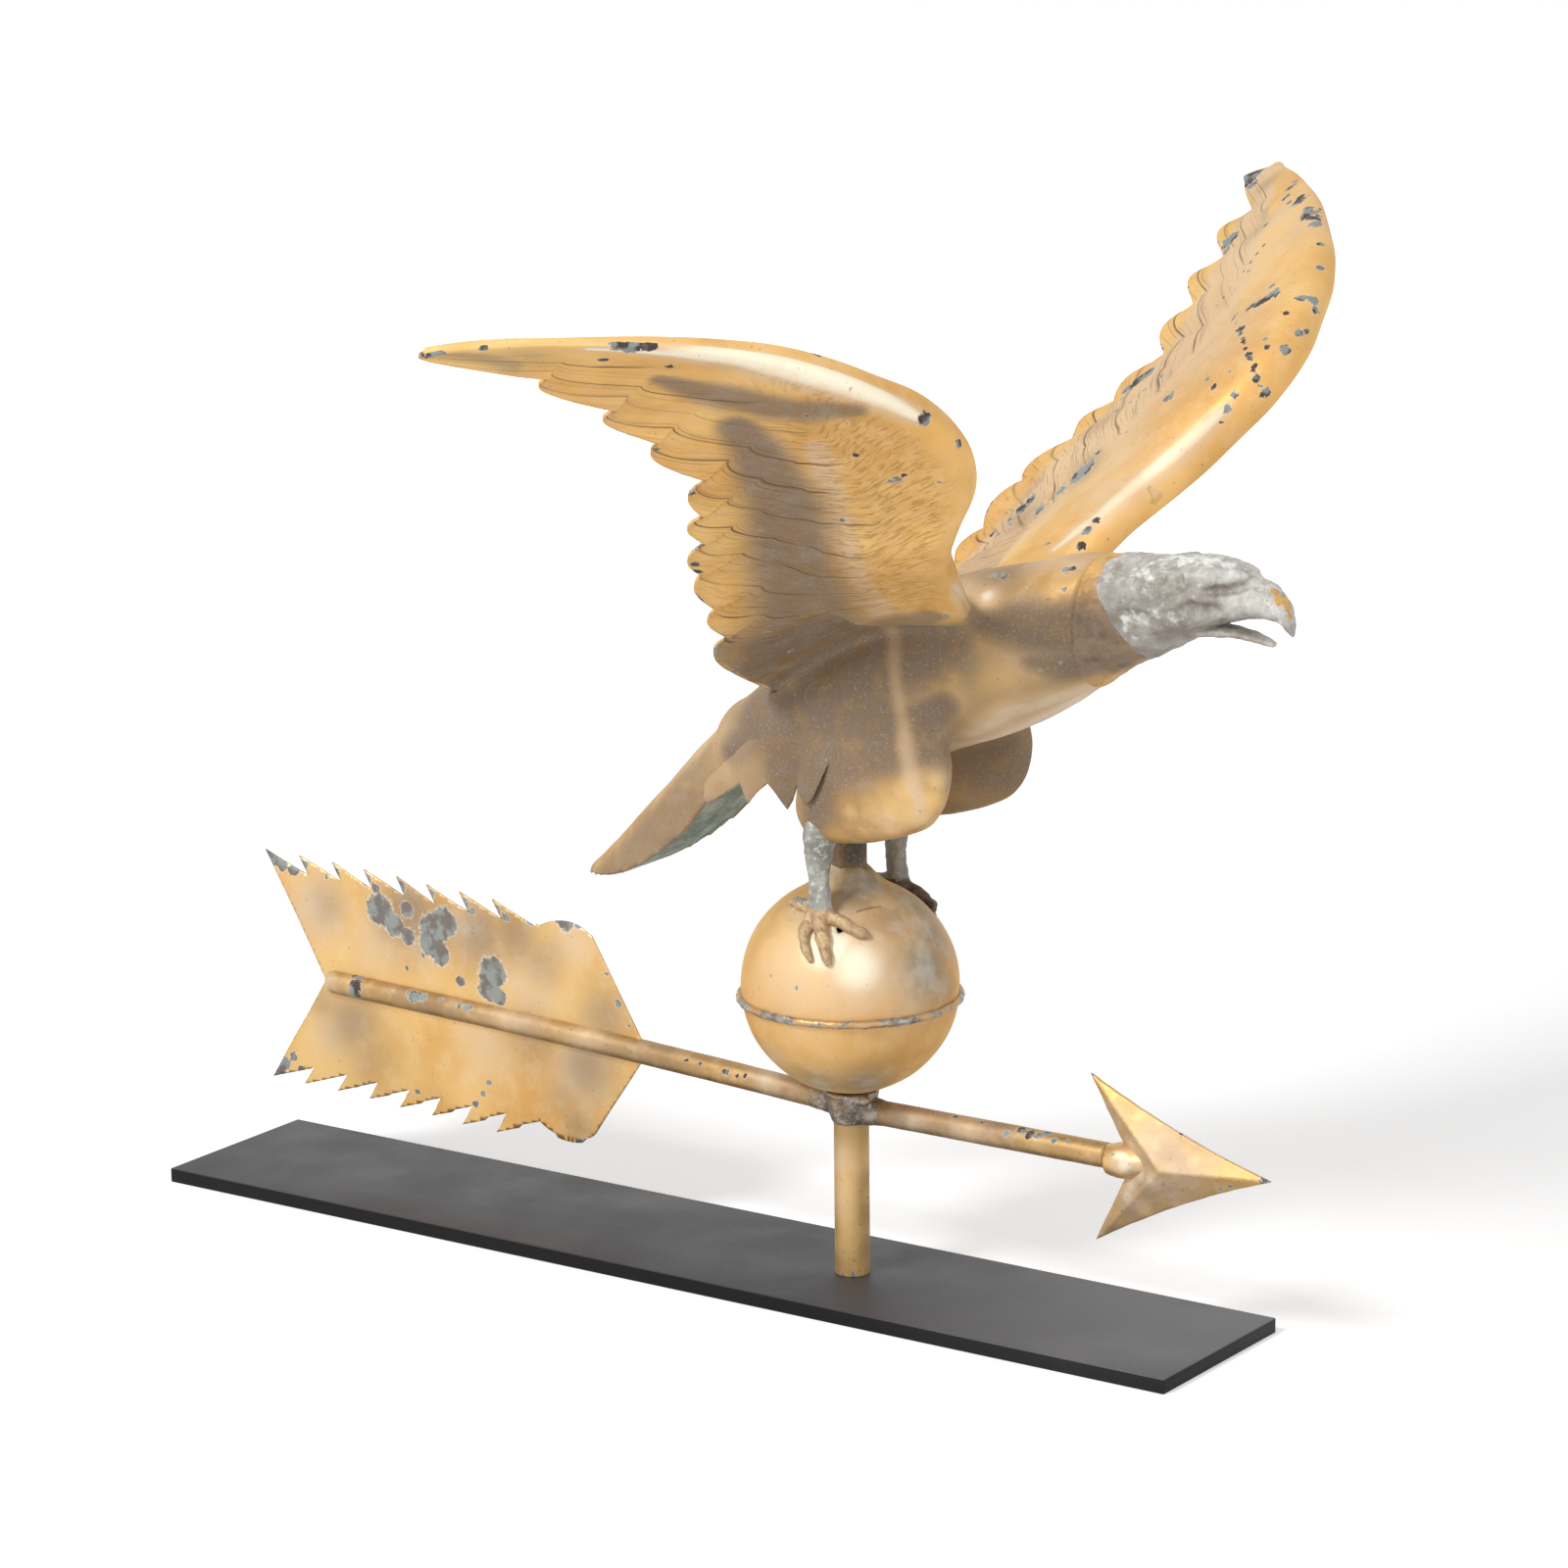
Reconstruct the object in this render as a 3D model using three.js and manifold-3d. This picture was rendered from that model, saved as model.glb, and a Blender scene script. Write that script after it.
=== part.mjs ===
// Eagle weathervane on a display stand, in millimetres, Z up.
// The origin is under the base plate, on the axis of the post. The bird and the arrow point along +X,
// and the bird's right side is -Y. Everything above the plate turns on the spindle rod.

import * as THREE from 'three';
import { mergeVertices } from 'three/addons/utils/BufferGeometryUtils.js';
import Module from 'manifold-3d';

const wasm = await Module();
wasm.setup();

// Clearances shared by all pieces
const gap = 0.3;
const overrun = 4;
const weldDistance = 0.0005;

// Base plate
const plateLength = 775.5;
const plateWidth = 134;
const plateThickness = 9.6;
const plateCornerRadius = 3;
const plateEdge = 0.8;
const postFromPlateFront = 268;
const socketFloor = 3;

// Spindle rod and the tube that turns on it
const rodRadius = 6.35;
const rodInBody = 8;
const rodDome = 4;
const domeSteps = 4;
const postRadius = 11.1;
const postBore = 9.5;
const bushLength = 22;
const plugLength = 16;

// Ball
const ballRadius = 68.4;
const ballCentre = 198;
const ballWall = 1;
const seamDrop = 7;
const beadProud = 3;
const beadHalfHeight = 2.4;
const slotLength = 16;
const slotWidth = 1.2;
const slotForward = 29;
const slotSide = 22;
const slotTurn = 60;
const beadRoundnessShare = 2.8;
const beadFlatCount = 4;

// Arrow
const shaftRadius = 7.95;
const shaftWall = 1.2;
const rearShaftHeight = 120;
const rearShaftLength = 422;
const rearLift = 2.4;
const shaftBow = 2;
const frontShaftHeight = 117.8;
const frontShaftEnd = 188;
const solderBottomRadius = 13.2;
const solderTopRadius = 18.5;
const solderDrop = 12;
// Where the round end of the rear shaft is drawn, as shares of its radius
const roundEndShares = [0.4, 0.7, 0.9];

// Fletching, in the frame of the tilted rear shaft
const fletchThickness = 1.2;
const fletchRear = 473.5;
const fletchFront = 162.5;
const fletchNotch = 422.6;
const fletchHalfHeight = 82;
const fletchLowerHalfHeight = 76.3;
const fletchLowerBack = 5.5;
const toothCount = 8;
const toothPitch = 27.2;
const toothDepth = 12.6;
const toothOverhang = 8;
// The round lobe before the slant: its rise by the tooth's depth, the rest by the pitch
const lobeRiseShare = 0.8;
const lobeLengthShare = 1.6;
const lobeRearShare = 0.5;
const lobeFrontShare = 0.3;
const lobeFlatCount = 8;

// Arrowhead, in the frame of its own tilted group
const headRoot = 200;
const headHeight = 116.5;
const headTurn = 2.2;
const headLength = 103;
const barbBack = 22.5;
const barbHalfHeight = 53;
const headThroat = 10.5;
const headHollow = 8.2;
const headRidge = 13;
const headSheet = 1.2;
const apexShare = 0.33;
// How far the hollow stays back from tip, barb and ridge, by the sheet's thickness
const tipWallShare = 2.4;
const barbBackWallShare = 0.3;
const barbWallShare = 1.6;
const ridgeWallShare = 1.5;
const barbFlatCount = 8;
const sleeveRadius = 10;
const sleeveMiddleRadius = 11.4;
const sleeveTipRadius = 5;
const sleeveBack = 12;
const sleeveLength = 34;
const waistPlaceShare = 0.2;
const waistRadiusShare = 0.75;

// Body shell
const sheet = 1;
const bodyBack = 75;
const bodyFront = 188;
const bodyFloor = 322;
const bodyDepth = 168;
const bodyHalfWidth = 57;
const bodyRoundnessShare = 2.3;
const postInBody = 73;
const postTop = bodyFloor + postInBody;

// Head casting
const headForward = 126;
const headRoundnessShare = 2.15;
const castingWall = 4;
const spigotDepth = 10;
const spigotWall = 2.5;
const eyeFromNeck = 66;
const eyeRise = 153;
const eyeSize = 7;
const eyeDepth = 3;
const browAboveEye = 10.5;
const browRise = 1.6;
const carveLimitShare = 0.5;
// How far forward the skull is hollow
const hollowShare = 0.4;

// Wings
const halfSpan = 457;
const wingReach = 212;
const wingFootRise = 66;
const wingRise = 276;
const wingRoll = 19;
const wingRollTip = 3.2;
const wingCamber = 12;
const topRollShare = 0.85;
const underRollShare = 0.8;
const rollInsetShare = 0.14;
const rootRollShare = 0.6;
// Along the half span: where the roll is full, and where it starts and stops to thin out
const rollGrowShares = [0.12, 0.4];
const rollThinShares = [0.35, 0.92];
// Along the chord: where the roll ends, the most that its nose takes, where the quills start
const rollEndShare = 0.62;
const noseLimitShare = 0.5;
const quillStartShare = 0.3;
const featherCrownShare = 0.7;
const edgeStepShare = 0.02;
const quillRise = 1.3;
const featherBulge = 2.6;

// Tail
const tailLength = 120;
const tailDrop = 79;
const tailDepth = 129;
const tailHalfWidth = 34;
const tailRibHeight = 0.9;
const tailPanelLift = 2;
const tailRibCount = 5;
const panelEndShare = 0.97;
const panelMargin = 4.2;

// Thighs and flank feathers
const thighDrop = 22;
const thighHeight = 108;
const thighLength = 111;
const thighBack = 7;
const thighCentre = 46;
const thighHalfThickness = 16;
const thighRoundnessShare = 2.3;
const flankBack = 88;
const flankFront = -4;
const flankDrop = 32;

// Legs and toes
const legForward = 6;
const legSide = 40;
const legInThigh = 52;
const legFootRise = 60;
const legRadius = 11;
const legLeanShare = 0.33;
const legSideShare = 0.9;
const toeRadius = 5.2;
const toeTipShare = 0.3;
const toeTaperShare = 1.5;
const knuckleShare = 0.12;

// Round shapes are drawn with these numbers of flats
const postFlatCount = 20;
const ballFlatCount = 32;
const ballSteps = 5;
const shaftFlatCount = 14;
const shaftSteps = 4;
const plateCornerFlatCount = 3;
const bodyFlatCount = 24;
const bodySteps = 12;
const headFlatCount = 20;
const skullSteps = 17;
const hollowSteps = 3;
const jawFlatCount = 10;
const jawSteps = 6;
const tailFlatCount = 12;
const tailSteps = 8;
const panelSteps = 4;
const ribFlatCount = 4;
const legFlatCount = 10;
const legSteps = 6;
const toeFlatCount = 6;
const toeSteps = 5;
const ballClearanceSteps = 12;
const thighFlatCount = 18;
const thighSteps = 7;
const flankSteps = 3;

// Heights that follow the body and the ball
const rodTop = bodyFloor + rodInBody;
const wingFoot = bodyFloor + wingFootRise;
const tailFloor = bodyFloor - tailDrop;
const thighBottom = bodyFloor - thighDrop;
const legTop = thighBottom + legInThigh;
const legBottom = ballCentre + legFootRise;
const eyeForward = bodyFront + eyeFromNeck;
const eyeHeight = bodyFloor + eyeRise;
const ballSeam = ballCentre - seamDrop;

// Finishes
function finish(color, roughness, metalness) {
  return new THREE.MeshStandardMaterial({ color, roughness, metalness });
}
const gilding = finish(0xd2a156, 0.38, 0.85);
const tarnished = finish(0xa08872, 0.55, 0.7);
const zinc = finish(0xa9a49a, 0.6, 0.6);
const verdigris = finish(0x76897a, 0.8, 0.3);
const blackSteel = finish(0x38373a, 0.5, 0.4);
const brightSteel = finish(0xa8a8a8, 0.35, 0.9);
const bronze = finish(0x8e6a3c, 0.5, 0.8);
const solder = finish(0xa39c90, 0.6, 0.6);

const model = new THREE.Group();

// Solids and meshes
function solidFrom(geometry) {
  const bare = new THREE.BufferGeometry();
  bare.setAttribute('position', geometry.getAttribute('position').clone());
  if (geometry.index) bare.setIndex(geometry.index.clone());
  const joined = mergeVertices(bare, weldDistance);
  return new wasm.Manifold(new wasm.Mesh({
    numProp: 3,
    vertProperties: new Float32Array(joined.getAttribute('position').array),
    triVerts: new Uint32Array(joined.index.array),
  }));
}

function geometryFrom(solid) {
  const mesh = solid.getMesh();
  const geometry = new THREE.BufferGeometry();
  geometry.setAttribute('position', new THREE.BufferAttribute(mesh.vertProperties, 3));
  geometry.setIndex(new THREE.BufferAttribute(mesh.triVerts, 1));
  return geometry;
}

function largestBody(solid) {
  const bodies = solid.decompose();
  return bodies.reduce((best, body) => (body.volume() > best.volume() ? body : best));
}

function addMesh(name, geometry, material, parent = model) {
  geometry.computeVertexNormals();
  const mesh = new THREE.Mesh(geometry, material);
  mesh.name = name;
  parent.add(mesh);
  return mesh;
}

function signedVolume(points, index) {
  const corner = (i) => new THREE.Vector3(...points[index[i]]);
  let sum = 0;
  for (let i = 0; i < index.length; i += 3) {
    sum += corner(i).dot(corner(i + 1).cross(corner(i + 2)));
  }
  return sum;
}

// A closed geometry from points and triangles, turned so that its faces point out
function closedGeometry(points, index) {
  const outward = signedVolume(points, index) > 0;
  const faces = [];
  for (let i = 0; i < index.length; i += 3) {
    faces.push(index[i], index[outward ? i + 1 : i + 2], index[outward ? i + 2 : i + 1]);
  }
  const geometry = new THREE.BufferGeometry();
  geometry.setAttribute('position', new THREE.Float32BufferAttribute(points.flat(), 3));
  geometry.setIndex(faces);
  return geometry;
}

// The same geometry on the other side of the bird
function mirrored(geometry) {
  const position = geometry.getAttribute('position');
  const points = [];
  for (let i = 0; i < position.count; i += 1) {
    points.push([position.getX(i), -position.getY(i), position.getZ(i)]);
  }
  return closedGeometry(points, Array.from(geometry.index.array));
}

// A closed shell between an outer and an inner grid of points
function shellBetween(outer, inner) {
  const rows = outer.length;
  const columns = outer[0].length;
  const points = [...outer.flat(), ...inner.flat()];
  const at = (layer, row, column) => (layer * rows + row) * columns + column;
  const index = [];
  const quad = (a, b, c, d) => index.push(a, b, c, a, c, d);
  for (let r = 0; r < rows - 1; r += 1) {
    for (let c = 0; c < columns - 1; c += 1) {
      quad(at(0, r, c), at(0, r, c + 1), at(0, r + 1, c + 1), at(0, r + 1, c));
      quad(at(1, r, c), at(1, r + 1, c), at(1, r + 1, c + 1), at(1, r, c + 1));
    }
    quad(at(0, r, 0), at(0, r + 1, 0), at(1, r + 1, 0), at(1, r, 0));
    quad(at(0, r, columns - 1), at(1, r, columns - 1), at(1, r + 1, columns - 1), at(0, r + 1, columns - 1));
  }
  for (let c = 0; c < columns - 1; c += 1) {
    quad(at(0, 0, c), at(1, 0, c), at(1, 0, c + 1), at(0, 0, c + 1));
    quad(at(0, rows - 1, c), at(0, rows - 1, c + 1), at(1, rows - 1, c + 1), at(1, rows - 1, c));
  }
  return closedGeometry(points, index);
}

// A solid through closed rings of points, with its two ends filled
function loft(rings) {
  const count = rings[0].length;
  const points = rings.flat();
  const index = [];
  for (let r = 0; r < rings.length - 1; r += 1) {
    for (let i = 0; i < count; i += 1) {
      const a = r * count + i;
      const b = r * count + ((i + 1) % count);
      index.push(a, b, b + count, a, b + count, a + count);
    }
  }
  const middle = (ring) => [0, 1, 2].map((k) => ring.reduce((sum, point) => sum + point[k], 0) / count);
  const first = points.push(middle(rings[0])) - 1;
  const last = points.push(middle(rings[rings.length - 1])) - 1;
  const end = (rings.length - 1) * count;
  for (let i = 0; i < count; i += 1) {
    const j = (i + 1) % count;
    index.push(first, j, i, last, end + i, end + j);
  }
  return closedGeometry(points, index);
}

// A revolved solid about the Z axis from a profile of [radius, height]
function turned(profile, flats) {
  const points = profile.map(([radius, height]) => new THREE.Vector2(radius, height));
  const lathe = new THREE.LatheGeometry(points, flats).rotateX(Math.PI / 2);
  lathe.deleteAttribute('normal');
  lathe.deleteAttribute('uv');
  const joined = mergeVertices(lathe, weldDistance);
  const position = joined.getAttribute('position');
  const place = (i) => [position.getX(i), position.getY(i), position.getZ(i)];
  const places = Array.from({ length: position.count }, (_, i) => place(i));
  const faces = Array.from(joined.index.array);
  const kept = faces.filter((_, i) => {
    const [a, b, c] = faces.slice(i - (i % 3), i - (i % 3) + 3);
    return a !== b && b !== c && c !== a;
  });
  return closedGeometry(places, kept);
}

function ringProfile(inner, outer, low, high) {
  return [[inner, low], [outer, low], [outer, high], [inner, high], [inner, low]];
}

function uprightCylinder(radius, low, high, flats) {
  return solidFrom(turned([[0, low], [radius, low], [radius, high], [0, high]], flats));
}

// A bar along X from one place to another, for shafts and for the holes that take them
function levelBar(radius, from, to, flats) {
  const bar = new THREE.CylinderGeometry(radius, radius, Math.abs(to - from), flats);
  return bar.rotateZ(Math.PI / 2).translate((from + to) / 2, 0, 0);
}

// A plate in the X-Z plane, centred on Y = 0
function uprightPlate(shape, thickness) {
  const plate = new THREE.ExtrudeGeometry(shape, {
    depth: thickness,
    bevelEnabled: false,
    curveSegments: lobeFlatCount,
  });
  return plate.rotateX(Math.PI / 2).translate(0, thickness / 2, 0);
}

// A smooth curve through rows of shares, read at any place along the first column
function shareCurve(rows) {
  const places = new Float32Array(rows.map((row) => row[0]));
  const values = new Float32Array(rows.flatMap((row) => row.slice(1)));
  const curve = new THREE.CubicInterpolant(places, values, rows[0].length - 1);
  return (place) => Array.from(curve.evaluate(place));
}

function steps(count) {
  return Array.from({ length: count + 1 }, (_, i) => i / count);
}

const mix = THREE.MathUtils.lerp;

// Unit outline of a rounded oval: roundness 2 is an ellipse, more is squarer
function oval(angle, roundness) {
  const part = (value) => Math.sign(value) * Math.abs(value) ** (2 / roundness);
  return [part(Math.cos(angle)), part(Math.sin(angle))];
}

// Base plate
function makeBasePlate() {
  const back = postFromPlateFront - plateLength + plateEdge;
  const front = postFromPlateFront - plateEdge;
  const side = plateWidth / 2 - plateEdge;
  const r = plateCornerRadius;
  const shape = new THREE.Shape();
  shape.absarc(front - r, side - r, r, 0, Math.PI / 2);
  shape.absarc(back + r, side - r, r, Math.PI / 2, Math.PI);
  shape.absarc(back + r, r - side, r, Math.PI, Math.PI * 1.5);
  shape.absarc(front - r, r - side, r, Math.PI * 1.5, Math.PI * 2);
  const plate = new THREE.ExtrudeGeometry(shape, {
    depth: plateThickness - 2 * plateEdge,
    bevelThickness: plateEdge,
    bevelSize: plateEdge,
    bevelSegments: 1,
    curveSegments: plateCornerFlatCount,
  }).translate(0, 0, plateEdge);
  const socket = uprightCylinder(rodRadius + gap, socketFloor, plateThickness + overrun, postFlatCount);
  addMesh('base_plate', geometryFrom(solidFrom(plate).subtract(socket)), blackSteel);
}

// Spindle rod, standing in the blind hole of the plate, with a domed tip
function makeSpindleRod() {
  const profile = [[0, socketFloor + gap], [rodRadius, socketFloor + gap], [rodRadius, rodTop]];
  for (const share of steps(domeSteps).slice(1, -1)) {
    const angle = share * Math.PI / 2;
    profile.push([rodRadius * Math.cos(angle), rodTop + rodDome * Math.sin(angle)]);
  }
  profile.push([0, rodTop + rodDome]);
  addMesh('spindle_rod', turned(profile, postFlatCount), brightSteel);
}

// Post tube, with a bush at its foot and a plug that rides on the rod's tip
function makePost() {
  const foot = plateThickness + gap;
  addMesh('post_tube', turned(ringProfile(postBore, postRadius, foot, postTop), postFlatCount), tarnished);
  const bush = ringProfile(rodRadius + gap, postBore - gap, foot, foot + bushLength);
  addMesh('lower_guide_bush', turned(bush, postFlatCount), bronze);
  const seat = rodTop + rodDome + gap;
  const plugRadius = postBore - gap;
  const plugTop = seat + plugLength;
  const plug = [[0, seat], [plugRadius, seat], [plugRadius, plugTop], [0, plugTop]];
  addMesh('top_bearing_plug', turned(plug, postFlatCount), bronze);
}

// Ball of two raised halves, closed by a rolled bead below the middle
function ballHalf(side) {
  const edge = side * gap / 2 - seamDrop;
  const arc = (radius) => {
    const seam = Math.acos(edge / radius);
    const hole = Math.asin((postRadius + gap) / radius);
    const end = side > 0 ? hole : Math.PI - hole;
    return steps(ballSteps).map((share) => {
      const angle = mix(seam, end, share);
      return [radius * Math.sin(angle), ballCentre + radius * Math.cos(angle)];
    });
  };
  const outer = arc(ballRadius);
  const inner = arc(ballRadius - ballWall).reverse();
  return turned([...outer, ...inner, outer[0]], ballFlatCount);
}

function makeBall() {
  const slotRise = Math.sqrt(ballRadius ** 2 - slotForward ** 2 - slotSide ** 2);
  const slot = new THREE.BoxGeometry(slotLength, slotWidth, 2 * overrun);
  slot.rotateZ(THREE.MathUtils.degToRad(slotTurn)).translate(slotForward, -slotSide, ballCentre + slotRise);
  const upper = solidFrom(ballHalf(1)).subtract(solidFrom(slot));
  addMesh('ball_upper_half', geometryFrom(upper), gilding);
  addMesh('ball_lower_half', ballHalf(-1), gilding);
  const bead = steps(beadFlatCount).map((share) => {
    const [across, up] = oval((share - 1 / 2) * Math.PI, beadRoundnessShare);
    return [ballRadius + gap + beadProud * across, ballSeam + beadHalfHeight * up];
  });
  addMesh('ball_seam_bead', turned([...bead, bead[0]], ballFlatCount), gilding);
}

// Arrow shafts: the rear one lifts and bows a little, the front one is level
const rearArrow = new THREE.Group();
rearArrow.rotation.y = THREE.MathUtils.degToRad(rearLift);
rearArrow.position.z = rearShaftHeight;
const arrowHead = new THREE.Group();
arrowHead.rotation.y = THREE.MathUtils.degToRad(-headTurn);
arrowHead.position.set(headRoot, 0, headHeight);
model.add(rearArrow, arrowHead);
model.updateMatrixWorld(true);

const intoGroup = (geometry, group) => geometry.clone().applyMatrix4(group.matrixWorld.clone().invert());
const outOfGroup = (geometry, group) => geometry.clone().applyMatrix4(group.matrixWorld);

function rearShaftRing(share, radius, from, to) {
  const x = mix(from, to, share);
  const z = shaftBow * Math.sin(Math.PI * Math.min(-x / rearShaftLength, 1));
  return steps(shaftFlatCount).slice(1).map((turn) => {
    const angle = turn * Math.PI * 2;
    return [x, radius * Math.cos(angle), z + radius * Math.sin(angle)];
  });
}

function rearShaftSolid(radius, from, to, roundEnd) {
  const straight = roundEnd ? to + radius : to;
  const rings = steps(shaftSteps).map((share) => rearShaftRing(share, radius, from, straight));
  if (roundEnd) {
    for (const share of roundEndShares) {
      const shrunk = radius * Math.sqrt(1 - share ** 2);
      rings.push(rearShaftRing(1, shrunk, from, straight - radius * share));
    }
  }
  return solidFrom(loft(rings));
}

function makeArrowShafts() {
  const postProfile = [[0, 0], [postRadius + gap, 0], [postRadius + gap, postTop], [0, postTop]];
  const post = turned(postProfile, postFlatCount);
  const rear = rearShaftSolid(shaftRadius, 0, -rearShaftLength, true)
    .subtract(rearShaftSolid(shaftRadius - shaftWall, overrun, shaftRadius - rearShaftLength, false))
    .subtract(solidFrom(intoGroup(post, rearArrow)));
  addMesh('arrow_shaft_rear', geometryFrom(largestBody(rear)), gilding, rearArrow);
  const bar = levelBar(shaftRadius, 0, frontShaftEnd, shaftFlatCount).translate(0, 0, frontShaftHeight);
  const bore = levelBar(shaftRadius - shaftWall, -overrun, frontShaftEnd + overrun, shaftFlatCount);
  const front = solidFrom(bar).subtract(solidFrom(bore.translate(0, 0, frontShaftHeight)));
  addMesh('arrow_shaft_front', geometryFrom(largestBody(front.subtract(solidFrom(post)))), gilding);
}

// Solder collar that joins both shafts to the post, under the ball
function makeArrowJoint() {
  const bore = postRadius + gap;
  const low = rearShaftHeight - solderDrop;
  const high = ballCentre - Math.sqrt(ballRadius ** 2 - bore ** 2) - gap;
  const profile = [
    [bore, low],
    [solderBottomRadius, low],
    [solderTopRadius, high],
    [bore, high],
    [bore, low],
  ];
  const rearHole = rearShaftSolid(shaftRadius + gap, overrun, -rearShaftLength, false);
  const frontHole = levelBar(shaftRadius + gap, 0, frontShaftEnd, shaftFlatCount);
  frontHole.translate(0, 0, frontShaftHeight);
  const joint = solidFrom(turned(profile, postFlatCount))
    .subtract(solidFrom(outOfGroup(geometryFrom(rearHole), rearArrow)))
    .subtract(solidFrom(frontHole));
  addMesh('arrow_joint_solder', geometryFrom(largestBody(joint)), solder);
}

// One fletching panel: a row of barbs that lean back, a round lobe and a long slant to the shaft
function fletchingShape(side, height, shift) {
  const shape = new THREE.Shape();
  const top = side * height;
  const foot = side * (height - toothDepth);
  const firstTooth = fletchRear - shift - (toothCount - 1) * toothPitch;
  shape.moveTo(-fletchNotch, 0);
  shape.lineTo(shift - fletchRear, top);
  for (let tooth = toothCount - 2; tooth >= 0; tooth -= 1) {
    const tip = -(firstTooth + tooth * toothPitch);
    shape.lineTo(tip + toothOverhang, foot);
    shape.lineTo(tip, top);
  }
  const lobe = -firstTooth + toothPitch + toothOverhang;
  const lobeTop = foot + side * toothDepth * lobeRiseShare;
  const lobeEnd = lobe + toothPitch * lobeLengthShare;
  const rearPull = lobe + toothPitch * lobeRearShare;
  const frontPull = lobeEnd - toothPitch * lobeFrontShare;
  const slantFoot = side * shaftRadius;
  shape.lineTo(lobe, foot);
  shape.bezierCurveTo(rearPull, lobeTop, frontPull, lobeTop, lobeEnd, foot);
  shape.lineTo(-fletchFront, slantFoot);
  shape.lineTo(-fletchFront, 0);
  shape.closePath();
  return shape;
}

function makeFletching() {
  const clearance = rearShaftSolid(shaftRadius + gap, 0, -rearShaftLength - gap, true);
  const panel = (side, height, shift) => {
    const plate = uprightPlate(fletchingShape(side, height, shift), fletchThickness);
    const keep = new THREE.BoxGeometry(2 * (fletchRear + overrun), 2 * overrun, 2 * height);
    keep.translate(0, 0, side * (height + gap));
    return largestBody(solidFrom(plate).intersect(solidFrom(keep)).subtract(clearance));
  };
  addMesh('fletching_upper', geometryFrom(panel(1, fletchHalfHeight, 0)), gilding, rearArrow);
  const lower = panel(-1, fletchLowerHalfHeight, fletchLowerBack);
  addMesh('fletching_lower', geometryFrom(lower), gilding, rearArrow);
}

// Arrowhead: two hollow halves with a raised ridge, on a sleeve at the end of the shaft
function headOutline(inset) {
  const tip = [headLength - tipWallShare * inset, 0];
  const barb = [barbBackWallShare * inset - barbBack, barbHalfHeight - barbWallShare * inset];
  const throat = [inset, headThroat - inset];
  const hollow = [(tip[0] + barb[0]) / 2, barb[1] / 2 - headHollow];
  const edge = new THREE.QuadraticBezierCurve(
    new THREE.Vector2(...tip),
    new THREE.Vector2(...hollow),
    new THREE.Vector2(...barb),
  );
  const upper = edge.getPoints(barbFlatCount).map((point) => [point.x, point.y]);
  const lower = upper.slice(1).reverse().map(([x, z]) => [x, -z]);
  return [...upper, throat, [throat[0], -throat[1]], ...lower];
}

function headHalf(side) {
  const outer = headOutline(0);
  const inner = headOutline(headSheet);
  const count = outer.length;
  const seam = side * gap / 2;
  const points = [...outer.map(([x, z]) => [x, seam, z]), ...inner.map(([x, z]) => [x, seam, z])];
  const apex = headLength * apexShare;
  const outerApex = points.push([apex, side * headRidge, 0]) - 1;
  const innerApex = points.push([apex, side * (headRidge - ridgeWallShare * headSheet), 0]) - 1;
  const index = [];
  for (let i = 0; i < count; i += 1) {
    const j = (i + 1) % count;
    index.push(i, j, outerApex, count + j, count + i, innerApex);
    index.push(j, i, count + i, j, count + i, count + j);
  }
  return solidFrom(closedGeometry(points, index));
}

function sleeveProfile(extra) {
  const back = -sleeveBack - (extra ? overrun : 0);
  const waist = sleeveMiddleRadius * waistRadiusShare;
  return [
    [0, back],
    [sleeveRadius + extra, back],
    [sleeveMiddleRadius + extra, 0],
    [waist + extra, sleeveLength * waistPlaceShare],
    [sleeveTipRadius + extra, sleeveLength - sleeveBack + extra],
    [0, sleeveLength - sleeveBack + extra],
  ];
}

function makeArrowhead() {
  const along = (profile) => turned(profile, shaftFlatCount).rotateY(Math.PI / 2);
  const hole = levelBar(shaftRadius + gap, 0, frontShaftEnd + gap, shaftFlatCount);
  hole.translate(0, 0, frontShaftHeight);
  const sleeve = solidFrom(along(sleeveProfile(0))).subtract(solidFrom(intoGroup(hole, arrowHead)));
  addMesh('arrowhead_socket', geometryFrom(largestBody(sleeve)), tarnished, arrowHead);
  const clearance = solidFrom(along(sleeveProfile(gap)));
  const right = largestBody(headHalf(-1).subtract(clearance));
  const left = largestBody(headHalf(1).subtract(clearance));
  addMesh('arrowhead_right_half', geometryFrom(right), gilding, arrowHead);
  addMesh('arrowhead_left_half', geometryFrom(left), gilding, arrowHead);
}

// Body sections: place along, top, bottom and half width
const bodyShares = [
  [-0.02, 0.29, 0.0, 0.59],
  [0, 0.3, 0.0, 0.6],
  [0.13, 0.45, 0.02, 0.81],
  [0.28, 0.63, 0.06, 0.95],
  [0.43, 0.76, 0.12, 1],
  [0.62, 0.87, 0.23, 0.98],
  [0.79, 0.935, 0.335, 0.89],
  [0.91, 0.985, 0.445, 0.79],
  [1, 1, 0.54, 0.69],
  [1.05, 1, 0.58, 0.64],
];
const bodyCurve = shareCurve(bodyShares);
const bodyLength = bodyBack + bodyFront;
const bodyStartShare = bodyShares[0][0];
const bodyEndShare = bodyShares[bodyShares.length - 1][0];

function bodySection(share, inset) {
  const [top, bottom, half] = bodyCurve(share);
  const high = bodyFloor + top * bodyDepth - inset;
  const low = bodyFloor + bottom * bodyDepth + inset;
  return {
    x: share * bodyLength - bodyBack,
    middle: (high + low) / 2,
    tall: (high - low) / 2,
    wide: half * bodyHalfWidth - inset,
  };
}

function bodyRing(share, inset) {
  const { x, middle, tall, wide } = bodySection(share, inset);
  return steps(bodyFlatCount).slice(1).map((turn) => {
    const [across, up] = oval(turn * Math.PI * 2, bodyRoundnessShare);
    return [x, wide * across, middle + tall * up];
  });
}

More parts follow.
